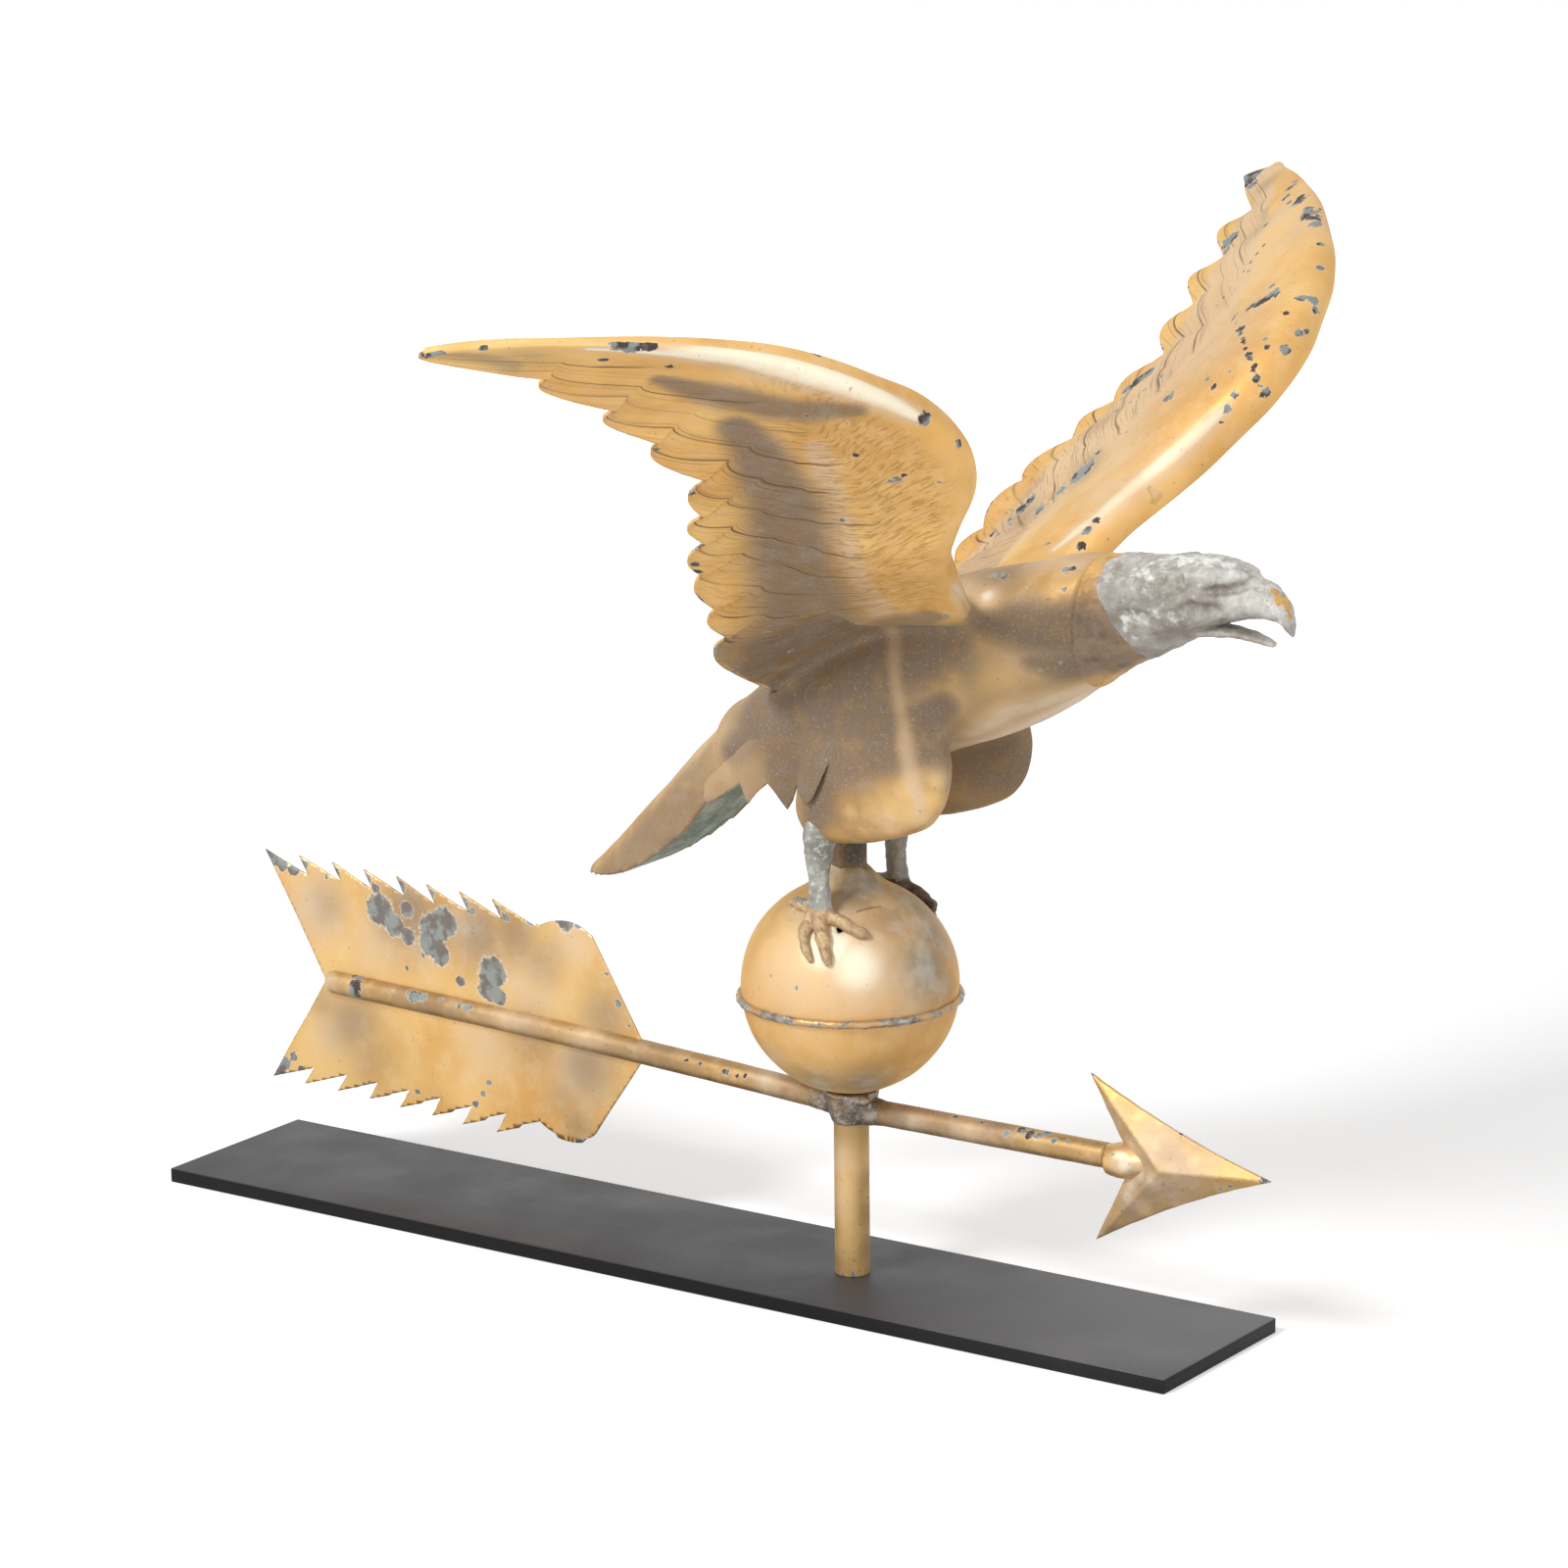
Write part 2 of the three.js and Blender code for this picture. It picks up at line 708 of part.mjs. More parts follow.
function bodyEnvelope(inset, from = bodyStartShare, to = bodyEndShare, rings = bodySteps) {
  return solidFrom(loft(steps(rings).map((share) => bodyRing(mix(from, to, share), inset))));
}

function makeBody() {
  const grid = (inset) => steps(bodySteps).map((share) => {
    const { x, middle, tall, wide } = bodySection(share, inset);
    return steps(bodyFlatCount / 2).map((turn) => {
      const [across, up] = oval(Math.PI / 2 - turn * Math.PI, bodyRoundnessShare);
      return [x, -mix(gap / 2, wide, Math.max(across, 0)), middle + tall * up];
    });
  });
  const half = solidFrom(shellBetween(grid(0), grid(sheet)));
  const holeTop = bodyFloor + bodyDepth / 2;
  const postHole = uprightCylinder(postRadius + gap, plateThickness, holeTop, postFlatCount);
  const right = geometryFrom(largestBody(half.subtract(postHole)));
  addMesh('body_right_half', right, tarnished);
  addMesh('body_left_half', mirrored(right), tarnished);
}

// Head casting: skull with a hooked beak, a lower jaw, and a spigot that fits inside the neck
const skullShares = [
  [0, 1, 0.535, 0.685],
  [0.13, 1.005, 0.6, 0.6],
  [0.27, 1.01, 0.655, 0.525],
  [0.41, 1.025, 0.715, 0.475],
  [0.53, 1.03, 0.76, 0.425],
  [0.62, 1.03, 0.8, 0.37],
  [0.71, 1.005, 0.822, 0.285],
  [0.81, 0.98, 0.838, 0.22],
  [0.89, 0.95, 0.838, 0.165],
  [0.945, 0.915, 0.826, 0.12],
  [0.98, 0.88, 0.797, 0.08],
  [1, 0.835, 0.78, 0.035],
];
const jawShares = [
  [0.42, 0.785, 0.74, 0.25],
  [0.53, 0.787, 0.753, 0.24],
  [0.62, 0.79, 0.76, 0.195],
  [0.71, 0.785, 0.762, 0.15],
  [0.8, 0.776, 0.752, 0.105],
  [0.87, 0.762, 0.744, 0.06],
  [0.905, 0.75, 0.739, 0.03],
];

function headRing(curve, share, inset, sides) {
  const [top, bottom, half] = curve(share);
  const x = bodyFront + mix(gap, headForward, share);
  const high = bodyFloor + top * bodyDepth - inset;
  const low = bodyFloor + bottom * bodyDepth + inset;
  const wide = half * bodyHalfWidth - inset;
  return steps(sides).slice(1).map((turn) => {
    const [across, up] = oval(turn * Math.PI * 2, headRoundnessShare);
    const z = (high + low) / 2 + (high - low) / 2 * up;
    const reach = Math.hypot(x - eyeForward, z - eyeHeight) / eyeSize;
    const brow = Math.hypot(x - eyeForward, z - eyeHeight - browAboveEye) / eyeSize;
    const carve = (eyeDepth * Math.exp(-(reach ** 2)) - browRise * Math.exp(-(brow ** 2))) / wide;
    const kept = 1 - THREE.MathUtils.clamp(carve, -carveLimitShare, carveLimitShare);
    return [x, wide * across * kept, z];
  });
}

function headLoft(shares, inset, from, to, rings, sides) {
  const curve = shareCurve(shares);
  return solidFrom(loft(steps(rings).map((share) => headRing(curve, mix(from, to, share), inset, sides))));
}

function makeHead() {
  const jawRoot = jawShares[0][0];
  const jawTip = jawShares[jawShares.length - 1][0];
  const skull = headLoft(skullShares, 0, 0, 1, skullSteps, headFlatCount);
  const jaw = headLoft(jawShares, 0, jawRoot, jawTip, jawSteps, jawFlatCount);
  const hollow = headLoft(skullShares, castingWall, 0, hollowShare, hollowSteps, headFlatCount);
  const opening = hollow.translate([-overrun, 0, 0]);
  const inNeck = sheet + 2 * gap;
  const spigotBack = 1 - spigotDepth / bodyLength;
  const spigotFront = 1 + (castingWall + gap) / bodyLength;
  const plug = bodyEnvelope(inNeck, spigotBack, spigotFront, 1);
  const past = overrun / bodyLength;
  const bore = bodyEnvelope(inNeck + spigotWall, spigotBack - past, spigotFront + past, 1);
  const casting = skull.add(jaw).subtract(hollow).subtract(opening).add(plug.subtract(bore));
  addMesh('head_casting', geometryFrom(largestBody(casting)), zinc);
}

// Wing edges: place out along the span, then forward reach and rise
const leadingShares = [
  [0.081, 0.56, 0.232],
  [0.155, 0.637, 0.297],
  [0.223, 0.698, 0.384],
  [0.285, 0.774, 0.46],
  [0.317, 0.849, 0.525],
  [0.343, 0.929, 0.601],
  [0.381, 0.981, 0.674],
  [0.434, 1, 0.75],
  [0.485, 0.981, 0.812],
  [0.543, 0.939, 0.862],
  [0.6, 0.873, 0.909],
  [0.663, 0.778, 0.949],
  [0.742, 0.656, 0.978],
  [0.817, 0.524, 0.993],
  [0.889, 0.396, 1],
  [0.941, 0.292, 1],
  [0.985, 0.225, 0.996],
  [1, 0.19, 0.989],
];
// Notches and feather tips in turn, from the body to the wing tip; 1 marks a feather tip
const trailingShares = [
  [0.081, -0.132, 0, 0],
  [0.145, -0.14, 0.05, 0],
  [0.215, -0.085, 0.094, 0],
  [0.245, -0.088, 0.141, 1],
  [0.272, -0.008, 0.192, 0],
  [0.302, -0.019, 0.232, 1],
  [0.321, 0.028, 0.272, 0],
  [0.357, 0.024, 0.322, 1],
  [0.383, 0.08, 0.37, 0],
  [0.415, 0.09, 0.409, 1],
  [0.44, 0.175, 0.457, 0],
  [0.475, 0.184, 0.5, 1],
  [0.492, 0.255, 0.536, 0],
  [0.528, 0.259, 0.587, 1],
  [0.553, 0.358, 0.634, 0],
  [0.606, 0.278, 0.685, 1],
  [0.641, 0.34, 0.732, 0],
  [0.696, 0.259, 0.783, 1],
  [0.726, 0.344, 0.819, 0],
  [0.798, 0.231, 0.87, 1],
  [0.838, 0.307, 0.906, 0],
  [0.902, 0.198, 0.935, 1],
  [0.962, 0.113, 0.964, 1],
  [0.985, 0.137, 0.976, 1],
  [1, 0.178, 0.987, 0],
];
const chordShares = [0, 0.025, 0.085, 0.2, 0.4, 0.68, 1];

function wingColumns() {
  const columns = [];
  trailingShares.forEach((row, i) => {
    const [out, forward, up, tip] = row;
    const before = trailingShares[i - 1];
    if (before && tip) {
      const y = mix(before[0], out, 0.5);
      const x = mix(before[1], forward, 0.5) - featherBulge / wingReach;
      columns.push([y, x, mix(before[2], up, 0.5), featherCrownShare]);
    }
    columns.push([out, forward, up, tip]);
  });
  return columns;
}

function wingFrame([out, forward, up, crown]) {
  const lead = shareCurve(leadingShares);
  const at = (share) => {
    const [x, z] = lead(share);
    return new THREE.Vector3(x * wingReach, -share * halfSpan, wingFoot + z * wingRise);
  };
  const rootFade = mix(rootRollShare, 1, THREE.MathUtils.smoothstep(out, ...rollGrowShares));
  const roll = mix(wingRoll, wingRollTip, THREE.MathUtils.smoothstep(out, ...rollThinShares)) * rootFade;
  const front = at(out);
  const rear = new THREE.Vector3(forward * wingReach, -out * halfSpan, wingFoot + up * wingRise);
  const along = at(Math.min(out + edgeStepShare, 1)).sub(at(out - edgeStepShare)).normalize();
  front.addScaledVector(rear.clone().sub(front).normalize(), roll * rollInsetShare);
  const chord = rear.clone().sub(front);
  const normal = chord.clone().cross(along).normalize();
  if (normal.z < 0) normal.negate();
  return { front, chord, normal, out, roll, crown };
}

// Half thickness of the wing: a fat rolled leading edge that thins into the feathers
function wingHalfThickness(frame, share, side) {
  const thin = sheet + gap / 2;
  const nose = Math.min(frame.roll / frame.chord.length(), noseLimitShare);
  const rise = share < nose ? Math.sqrt(1 - (1 - share / nose) ** 2) : 1;
  const past = THREE.MathUtils.clamp((share - nose) / (rollEndShare - nose), 0, 1);
  const fall = Math.cos(Math.PI / 2 * past) ** 2;
  const rollShare = side > 0 ? topRollShare : underRollShare;
  const quill = quillRise * frame.crown * THREE.MathUtils.smoothstep(share, quillStartShare, 1);
  return thin + (frame.roll - thin) * rollShare * rise * fall + quill;
}

function wingSkin(side) {
  const frames = wingColumns().map(wingFrame);
  const camber = (frame, share) => wingCamber * (1 - frame.out) * Math.sin(Math.PI * share);
  const grid = (inset) => frames.map((frame) => chordShares.map((share) => {
    const half = Math.max(wingHalfThickness(frame, share, side) - inset, gap / 2);
    const lift = camber(frame, share) + side * half;
    const point = frame.front.clone().addScaledVector(frame.chord, share);
    return point.addScaledVector(frame.normal, lift).toArray();
  }));
  return solidFrom(shellBetween(grid(0), grid(sheet)));
}

function makeWings() {
  const clearance = bodyEnvelope(-gap);
  const top = geometryFrom(largestBody(wingSkin(1).subtract(clearance)));
  const under = geometryFrom(largestBody(wingSkin(-1).subtract(clearance)));
  addMesh('right_wing_top', top, gilding);
  addMesh('right_wing_under', under, gilding);
  addMesh('left_wing_top', mirrored(top), gilding);
  addMesh('left_wing_under', mirrored(under), gilding);
}

// Tail sections from root to tip: place along, top, lower edge and half width
const tailShares = [
  [0, 1, 0.6, 1],
  [0.25, 0.76, 0.335, 0.94],
  [0.55, 0.473, 0.135, 0.82],
  [0.77, 0.256, 0.045, 0.7],
  [0.91, 0.13, 0.02, 0.53],
  [0.98, 0.075, 0.012, 0.34],
  [1, 0.058, 0.01, 0.24],
];
const tailCurve = shareCurve(tailShares);

function tailSection(share) {
  const [top, low, half] = tailCurve(share);
  return {
    x: -bodyBack - gap - share * tailLength,
    high: tailFloor + top * tailDepth,
    low: tailFloor + low * tailDepth,
    wide: half * tailHalfWidth,
  };
}

function makeTail() {
  const grid = (inset) => steps(tailSteps).map((share) => {
    const { x, high, low, wide } = tailSection(share);
    return steps(tailFlatCount).map((turn) => {
      const [across, up] = oval(turn * Math.PI, 2);
      return [x, (wide - inset) * across, mix(low, high - inset, Math.max(up, 0))];
    });
  });
  addMesh('tail_top', shellBetween(grid(0), grid(sheet)), tarnished);
  const panel = (lift) => steps(panelSteps).map((place) => {
    const { x, low, wide } = tailSection(place * panelEndShare);
    const half = wide - panelMargin;
    return steps(tailRibCount * ribFlatCount).map((share) => {
      const rib = tailRibHeight * Math.cos(share * tailRibCount * Math.PI * 2);
      return [x, mix(-half, half, share), low + tailPanelLift + rib + lift];
    });
  });
  addMesh('tail_underside', shellBetween(panel(0), panel(sheet)), verdigris);
}

// Legs with three toes forward and one back, lying on the ball
function legRing(height, radius) {
  const share = (height - legBottom) / (legTop - legBottom);
  return steps(legFlatCount).slice(1).map((turn) => {
    const [across, side] = oval(turn * Math.PI * 2, 2);
    const forward = legForward + radius * (share * legLeanShare + across);
    return [forward, radius * legSideShare * side - legSide, height];
  });
}

// Leg thickness from the foot up
const legSwellShares = [
  [0, 0.95],
  [0.12, 0.85],
  [0.3, 0.78],
  [0.5, 0.95],
  [1, 1],
];

function legColumn(extra) {
  const swell = shareCurve(legSwellShares);
  const rings = steps(legSteps).map((share) => {
    const [radius] = swell(share);
    return legRing(mix(legBottom, legTop, share), radius * legRadius + extra);
  });
  return solidFrom(loft(rings));
}

// Toe directions from the centre of the ball, as shares of its radius: forward and to the side
const footShares = [0.09, -0.56];
const toeShares = [
  [0.13, -0.9],
  [0.34, -0.84],
  [0.54, -0.55],
  [-0.3, -0.5],
];

function ballPoint(forward, side, radius) {
  const up = Math.sqrt(1 - forward ** 2 - side ** 2);
  return new THREE.Vector3(forward, side, up).multiplyScalar(radius);
}

function toe(tipShares) {
  const root = ballPoint(...footShares, 1);
  const tip = ballPoint(...tipShares, 1);
  const turn = root.clone().cross(tip).normalize();
  const reach = root.angleTo(tip);
  const rings = steps(toeSteps).map((share) => {
    const knuckle = 1 + knuckleShare * Math.cos(share * Math.PI * 4);
    const radius = toeRadius * mix(1, toeTipShare, share ** toeTaperShare) * knuckle;
    const outward = root.clone().applyAxisAngle(turn, reach * share);
    const centre = outward.clone().multiplyScalar(ballRadius + gap + radius);
    return steps(toeFlatCount).slice(1).map((round) => {
      const [across, up] = oval(round * Math.PI * 2, 2);
      const point = centre.clone().addScaledVector(turn, radius * across);
      point.addScaledVector(outward, radius * up);
      return [point.x, point.y, point.z + ballCentre];
    });
  });
  return solidFrom(loft(rings));
}

function makeLegs() {
  const round = new THREE.IcosahedronGeometry(ballRadius + gap, ballClearanceSteps);
  const ball = solidFrom(round.translate(0, 0, ballCentre));
  const column = legColumn(0).subtract(bodyEnvelope(-gap)).subtract(ball);
  const leg = toeShares.reduce((solid, shares) => solid.add(toe(shares)), largestBody(column));
  const right = geometryFrom(largestBody(leg));
  addMesh('right_leg', right, zinc);
  addMesh('left_leg', mirrored(right), zinc);
}

// Thighs: hollow pods on the sides of the belly. Height, rear end, front end, half thickness, side place
const thighShares = [
  [0, 0.12, 0.24, 0.2, 0.9],
  [0.03, 0.06, 0.45, 0.4, 0.93],
  [0.09, 0.02, 0.66, 0.58, 0.96],
  [0.17, 0.0, 0.85, 0.76, 0.98],
  [0.25, 0.01, 0.93, 0.88, 1],
  [0.38, 0.03, 0.985, 0.97, 1],
  [0.52, 0.06, 1, 1, 0.99],
  [0.66, 0.1, 0.98, 0.95, 0.95],
  [0.83, 0.15, 0.93, 0.8, 0.88],
  [1, 0.22, 0.84, 0.6, 0.8],
];

function thighLoft(inset) {
  const curve = shareCurve(thighShares);
  const rings = steps(thighSteps).map((share) => {
    const [rear, front, thick, side] = curve(share);
    const half = (front - rear) / 2 * thighLength - inset;
    const x = (front + rear) / 2 * thighLength - thighBack;
    const z = mix(thighBottom + inset, thighBottom + thighHeight - inset, share);
    const wide = thick * thighHalfThickness - inset;
    return steps(thighFlatCount).slice(1).map((turn) => {
      const [along, across] = oval(turn * Math.PI * 2, thighRoundnessShare);
      return [x + half * along, wide * across - side * thighCentre, z];
    });
  });
  return solidFrom(loft(rings));
}

function makeThighs() {
  const pod = thighLoft(0).subtract(thighLoft(sheet)).subtract(bodyEnvelope(-gap)).subtract(legColumn(gap));
  const right = geometryFrom(largestBody(pod));
  addMesh('right_thigh', right, tarnished);
  addMesh('left_thigh', mirrored(right), tarnished);
}

// Flank feathers: jagged sheets that hang beside the tail root. Place along and drop of the edge
const flankShares = [
  [0, 0.66],
  [0.06, 0.98],
  [0.24, 0.62],
  [0.46, 0.45],
  [0.51, 0.86],
  [0.66, 0.55],
  [0.76, 0.3],
  [0.87, 0.76],
  [1, 0.1],
];

function makeFlankFeathers() {
  const grid = (extra) => flankShares.map(([along, drop]) => {
    const x = mix(-flankBack, flankFront, along);
    const share = THREE.MathUtils.clamp((x + bodyBack) / bodyLength, 0, 1);
    const { middle, wide } = bodySection(share, 0);
    const low = mix(bodyFloor + flankDrop / 2, bodyFloor - flankDrop / 2, drop);
    const out = -(wide + 2 * gap + extra);
    return steps(flankSteps).map((down) => [x, out, mix(middle, low, down)]);
  });
  const right = shellBetween(grid(sheet), grid(0));
  addMesh('right_flank_feathers', right, tarnished);
  addMesh('left_flank_feathers', mirrored(right), tarnished);
}

makeBasePlate();
makeSpindleRod();
makePost();
makeBall();
makeArrowShafts();
makeArrowJoint();
makeFletching();
makeArrowhead();
makeBody();
makeHead();
makeWings();
makeTail();
makeLegs();
makeThighs();
makeFlankFeathers();

export default model;
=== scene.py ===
import math

import bmesh
import bpy
import numpy as np
from mathutils import Matrix, Vector, noise
from mathutils.bvhtree import BVHTree
from mathutils.geometry import delaunay_2d_cdt


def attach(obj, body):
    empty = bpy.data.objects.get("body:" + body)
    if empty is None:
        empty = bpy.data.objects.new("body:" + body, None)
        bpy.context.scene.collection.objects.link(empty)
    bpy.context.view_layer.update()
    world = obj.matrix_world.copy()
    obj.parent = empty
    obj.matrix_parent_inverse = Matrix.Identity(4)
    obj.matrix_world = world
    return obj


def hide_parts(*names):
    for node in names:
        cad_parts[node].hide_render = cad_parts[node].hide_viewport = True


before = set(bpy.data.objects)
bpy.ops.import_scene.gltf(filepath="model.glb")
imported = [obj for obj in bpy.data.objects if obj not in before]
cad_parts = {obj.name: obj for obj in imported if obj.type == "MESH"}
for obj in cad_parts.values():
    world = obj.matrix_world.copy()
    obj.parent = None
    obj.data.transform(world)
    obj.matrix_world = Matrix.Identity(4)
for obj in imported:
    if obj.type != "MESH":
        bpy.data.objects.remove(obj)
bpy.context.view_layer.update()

MM = 0.001


# Studio: a long lens in front and to the bird's right, which looks down 13.5 degrees.
# The floor and the air are white. The floor still takes the vane's soft shadow.
def studio_camera():
    turn, lift, roll = math.radians(34.816), math.radians(13.499), math.radians(-0.668)
    focal_px, frame_px, sensor_mm = 5656.7, 1600, 36
    flat = math.cos(lift)
    back = Vector((math.sin(turn) * flat, -math.cos(turn) * flat, math.sin(lift)))
    level = Vector((math.cos(turn), math.sin(turn), 0))
    upright = back.cross(level)
    across = level * math.cos(roll) + upright * math.sin(roll)
    up = upright * math.cos(roll) - level * math.sin(roll)
    lens = bpy.data.cameras.new("studio_camera")
    lens.sensor_width = sensor_mm
    lens.lens = focal_px / frame_px * sensor_mm
    lens.clip_end = 50
    camera = bpy.data.objects.new("studio_camera", lens)
    turned = Matrix((across, up, back)).transposed().to_4x4()
    camera.matrix_world = Matrix.Translation((1.8671, -2.7544, 1.1251)) @ turned
    bpy.context.collection.objects.link(camera)
    bpy.context.scene.camera = camera


def softbox(name, place, aim, size, power):
    lamp = bpy.data.lights.new(name, "AREA")
    lamp.shape = "RECTANGLE"
    lamp.size, lamp.size_y = size
    lamp.energy = power
    box = bpy.data.objects.new(name, lamp)
    box.location = place
    box.rotation_euler = (Vector(aim) - Vector(place)).to_track_quat("-Z", "Y").to_euler()
    bpy.context.collection.objects.link(box)


def add_node(nodes, kind, operation=None):
    node = nodes.new("ShaderNode" + kind)
    if operation:
        node.operation = operation
    return node


def fill_inputs(node, **values):
    for name, value in values.items():
        node.inputs[name.replace("_", " ")].default_value = value


def seen_directly(nodes, links):
    """1 where the camera or a mirror looks, and 0 for the light that falls on the object."""
    rays = add_node(nodes, "LightPath")
    seen = add_node(nodes, "Math", "MAXIMUM")
    links.new(rays.outputs["Is Camera Ray"], seen.inputs[0])
    links.new(rays.outputs["Is Glossy Ray"], seen.inputs[1])
    return seen.outputs[0]


def white_air():
    world = bpy.data.worlds.new("white_air")
    world.use_nodes = True
    nodes, links = world.node_tree.nodes, world.node_tree.links
    level = add_node(nodes, "MapRange")
    fill_inputs(level, To_Min=0.55, To_Max=1.0)
    links.new(seen_directly(nodes, links), level.inputs["Value"])
    links.new(level.outputs[0], nodes["Background"].inputs["Strength"])
    fill_inputs(nodes["Background"], Color=(1, 1, 1, 1))
    bpy.context.scene.world = world


def white_floor():
    bpy.ops.mesh.primitive_plane_add(size=14)
    floor = bpy.context.object
    floor.name = "studio_floor"
    paper = bpy.data.materials.new("floor_paper")
    paper.use_nodes = True
    nodes, links = paper.node_tree.nodes, paper.node_tree.links
    nodes.clear()
    matt, glow = add_node(nodes, "BsdfDiffuse"), add_node(nodes, "Emission")
    fill_inputs(matt, Color=(0.8, 0.8, 0.805, 1))
    away, white = add_node(nodes, "VectorMath", "LENGTH"), add_node(nodes, "MapRange")
    links.new(add_node(nodes, "TexCoord").outputs["Object"], away.inputs[0])
    fill_inputs(white, From_Min=0.9, From_Max=2.6, To_Min=0.36, To_Max=1.0)
    links.new(away.outputs["Value"], white.inputs["Value"])
    level = add_node(nodes, "Math", "MULTIPLY")
    links.new(seen_directly(nodes, links), level.inputs[0])
    links.new(white.outputs[0], level.inputs[1])
    links.new(level.outputs[0], glow.inputs["Strength"])
    both = add_node(nodes, "AddShader")
    links.new(matt.outputs[0], both.inputs[0])
    links.new(glow.outputs[0], both.inputs[1])
    links.new(both.outputs[0], add_node(nodes, "OutputMaterial").inputs["Surface"])
    floor.data.materials.append(paper)


studio_camera()
white_air()
white_floor()
softbox("window_left", (-0.45, -2.3, 2.35), (0, 0, 0.35), (0.75, 0.75), 62)
softbox("window_right", (2.2, -1.2, 1.2), (0, 0, 0.35), (1.2, 1.2), 9)
bpy.context.scene.view_settings.view_transform = "Standard"


# Base plate: a length of flat steel bar, 775 by 134 by 9.6 mm, painted satin black.
# Its corners are rounded, its edges eased with a file, and the rod's socket is drilled in.
class Finish:
    """A material, built node by node from noise in the object's own frame and painted fields."""

    def __init__(self, name):
        self.material = bpy.data.materials.new(name)
        self.material.use_nodes = True
        self.nodes, self.links = self.material.node_tree.nodes, self.material.node_tree.links
        self.nodes.clear()
        out = add_node(self.nodes, "OutputMaterial")
        self.shader = add_node(self.nodes, "BsdfPrincipled")
        self.links.new(self.shader.outputs[0], out.inputs["Surface"])
        self.place = add_node(self.nodes, "TexCoord").outputs["Object"]

    def feed(self, socket, value):
        if isinstance(value, bpy.types.NodeSocket):
            self.links.new(value, socket)
        else:
            socket.default_value = (*value, 1) if isinstance(value, tuple) else value

    def wear(self, **channels):
        for name, value in channels.items():
            self.feed(self.shader.inputs[name.replace("_", " ")], value)

    def grain(self, scale, detail=3.0, rough=0.55, stretch=None, place=None):
        place = self.place if place is None else place
        if stretch:
            mapping = add_node(self.nodes, "Mapping")
            fill_inputs(mapping, Scale=stretch)
            self.links.new(place, mapping.inputs["Vector"])
            place = mapping.outputs[0]
        texture = add_node(self.nodes, "TexNoise")
        fill_inputs(texture, Scale=scale, Detail=detail, Roughness=rough)
        self.links.new(place, texture.inputs["Vector"])
        return texture.outputs["Fac"]

    def reach(self, value, low, high, to_low=0.0, to_high=1.0):
        """Ease from to_low to to_high while the value goes from low to high."""
        node = add_node(self.nodes, "MapRange")
        node.interpolation_type = "SMOOTHSTEP"
        fill_inputs(node, From_Min=low, From_Max=high, To_Min=to_low, To_Max=to_high)
        self.links.new(value, node.inputs["Value"])
        return node.outputs[0]

    def sums(self, operation, first, second=0):
        node = add_node(self.nodes, "Math", operation)
        self.feed(node.inputs[0], first)
        self.feed(node.inputs[1], second)
        return node.outputs[0]

    def times(self, first, second):
        return self.sums("MULTIPLY", first, second)

    def plus(self, first, second):
        return self.sums("ADD", first, second)

    def less(self, first, second):
        return self.sums("SUBTRACT", first, second)

    def larger(self, first, second):
        return self.sums("MAXIMUM", first, second)

    def blend(self, factor, first, second):
        node = add_node(self.nodes, "Mix")
        node.data_type = "RGBA"
        colours = [socket for socket in node.inputs if socket.type == "RGBA"]
        self.links.new(factor, node.inputs["Factor"])
        self.feed(colours[0], first)
        self.feed(colours[1], second)
        return [socket for socket in node.outputs if socket.type == "RGBA"][0]

    def parts(self, vector):
        node = add_node(self.nodes, "SeparateXYZ")
        self.links.new(vector, node.inputs[0])
        return node.outputs

    def field(self, name, output="Fac"):
        """A field that is painted on the mesh's corners."""
        node = add_node(self.nodes, "Attribute")
        node.attribute_type = "GEOMETRY"
        node.attribute_name = name
        return node.outputs[output]

    def bump(self, height, depth, distance=0.001):
        node = add_node(self.nodes, "Bump")
        fill_inputs(node, Strength=depth, Distance=distance)
        self.links.new(height, node.inputs["Height"])
        self.wear(Normal=node.outputs[0])


def black_paint():
    coat = Finish("satin_black_paint")
    cloud = coat.grain(14, 4)
    dust = coat.reach(coat.grain(420, 2), 0.66, 0.72)
    scuff = coat.reach(coat.grain(60, 5, 0.7, (0.25, 1, 1)), 0.58, 0.75)
    colour = coat.blend(cloud, (0.02, 0.019, 0.021), (0.05, 0.048, 0.052))
    colour = coat.blend(coat.times(scuff, 0.3), colour, (0.085, 0.083, 0.087))
    colour = coat.blend(coat.times(dust, 0.25), colour, (0.25, 0.24, 0.23))
    x, _, z = coat.parts(coat.place)
    # A painted sheen: the top turns lighter towards the bar's front end.
    painted_sheen = coat.times(coat.reach(x, 0.0, 0.24), coat.reach(cloud, 0.3, 0.7, 0.5, 1))
    colour = coat.blend(coat.times(painted_sheen, 0.8), colour, (0.165, 0.165, 0.172))
    # Painted shade: the faces below the top are darker, and they are also made less shiny.
    side = coat.reach(z, 9.3 * MM, 8.9 * MM)
    colour = coat.blend(coat.times(side, 0.85), colour, (0.006, 0.006, 0.007))
    coat.wear(Base_Color=colour)
    coat.wear(Roughness=coat.reach(cloud, 0.3, 0.7, 0.4, 0.55))
    coat.wear(Specular_IOR_Level=coat.reach(side, 0, 1, 0.35, 0.12))
    coat.bump(coat.grain(900, 2), 0.12)
    return coat.material


def only(piece):
    bpy.ops.object.select_all(action="DESELECT")
    piece.select_set(True)
    bpy.context.view_layer.objects.active = piece


def fresh(add, **settings):
    """A new primitive, which is then the only thing selected."""
    bpy.ops.object.select_all(action="DESELECT")
    add(**settings)
    return bpy.context.object


def smooth(piece, degrees):
    only(piece)
    bpy.ops.object.shade_smooth_by_angle(angle=math.radians(degrees))


def settle(piece):
    only(piece)
    bpy.ops.object.transform_apply(location=True, rotation=True, scale=True)


def apply_modifier(piece, kind, **settings):
    only(piece)
    modifier = piece.modifiers.new(kind.lower(), kind)
    for name, value in settings.items():
        setattr(modifier, name, value)
    bpy.ops.object.modifier_apply(modifier=modifier.name)


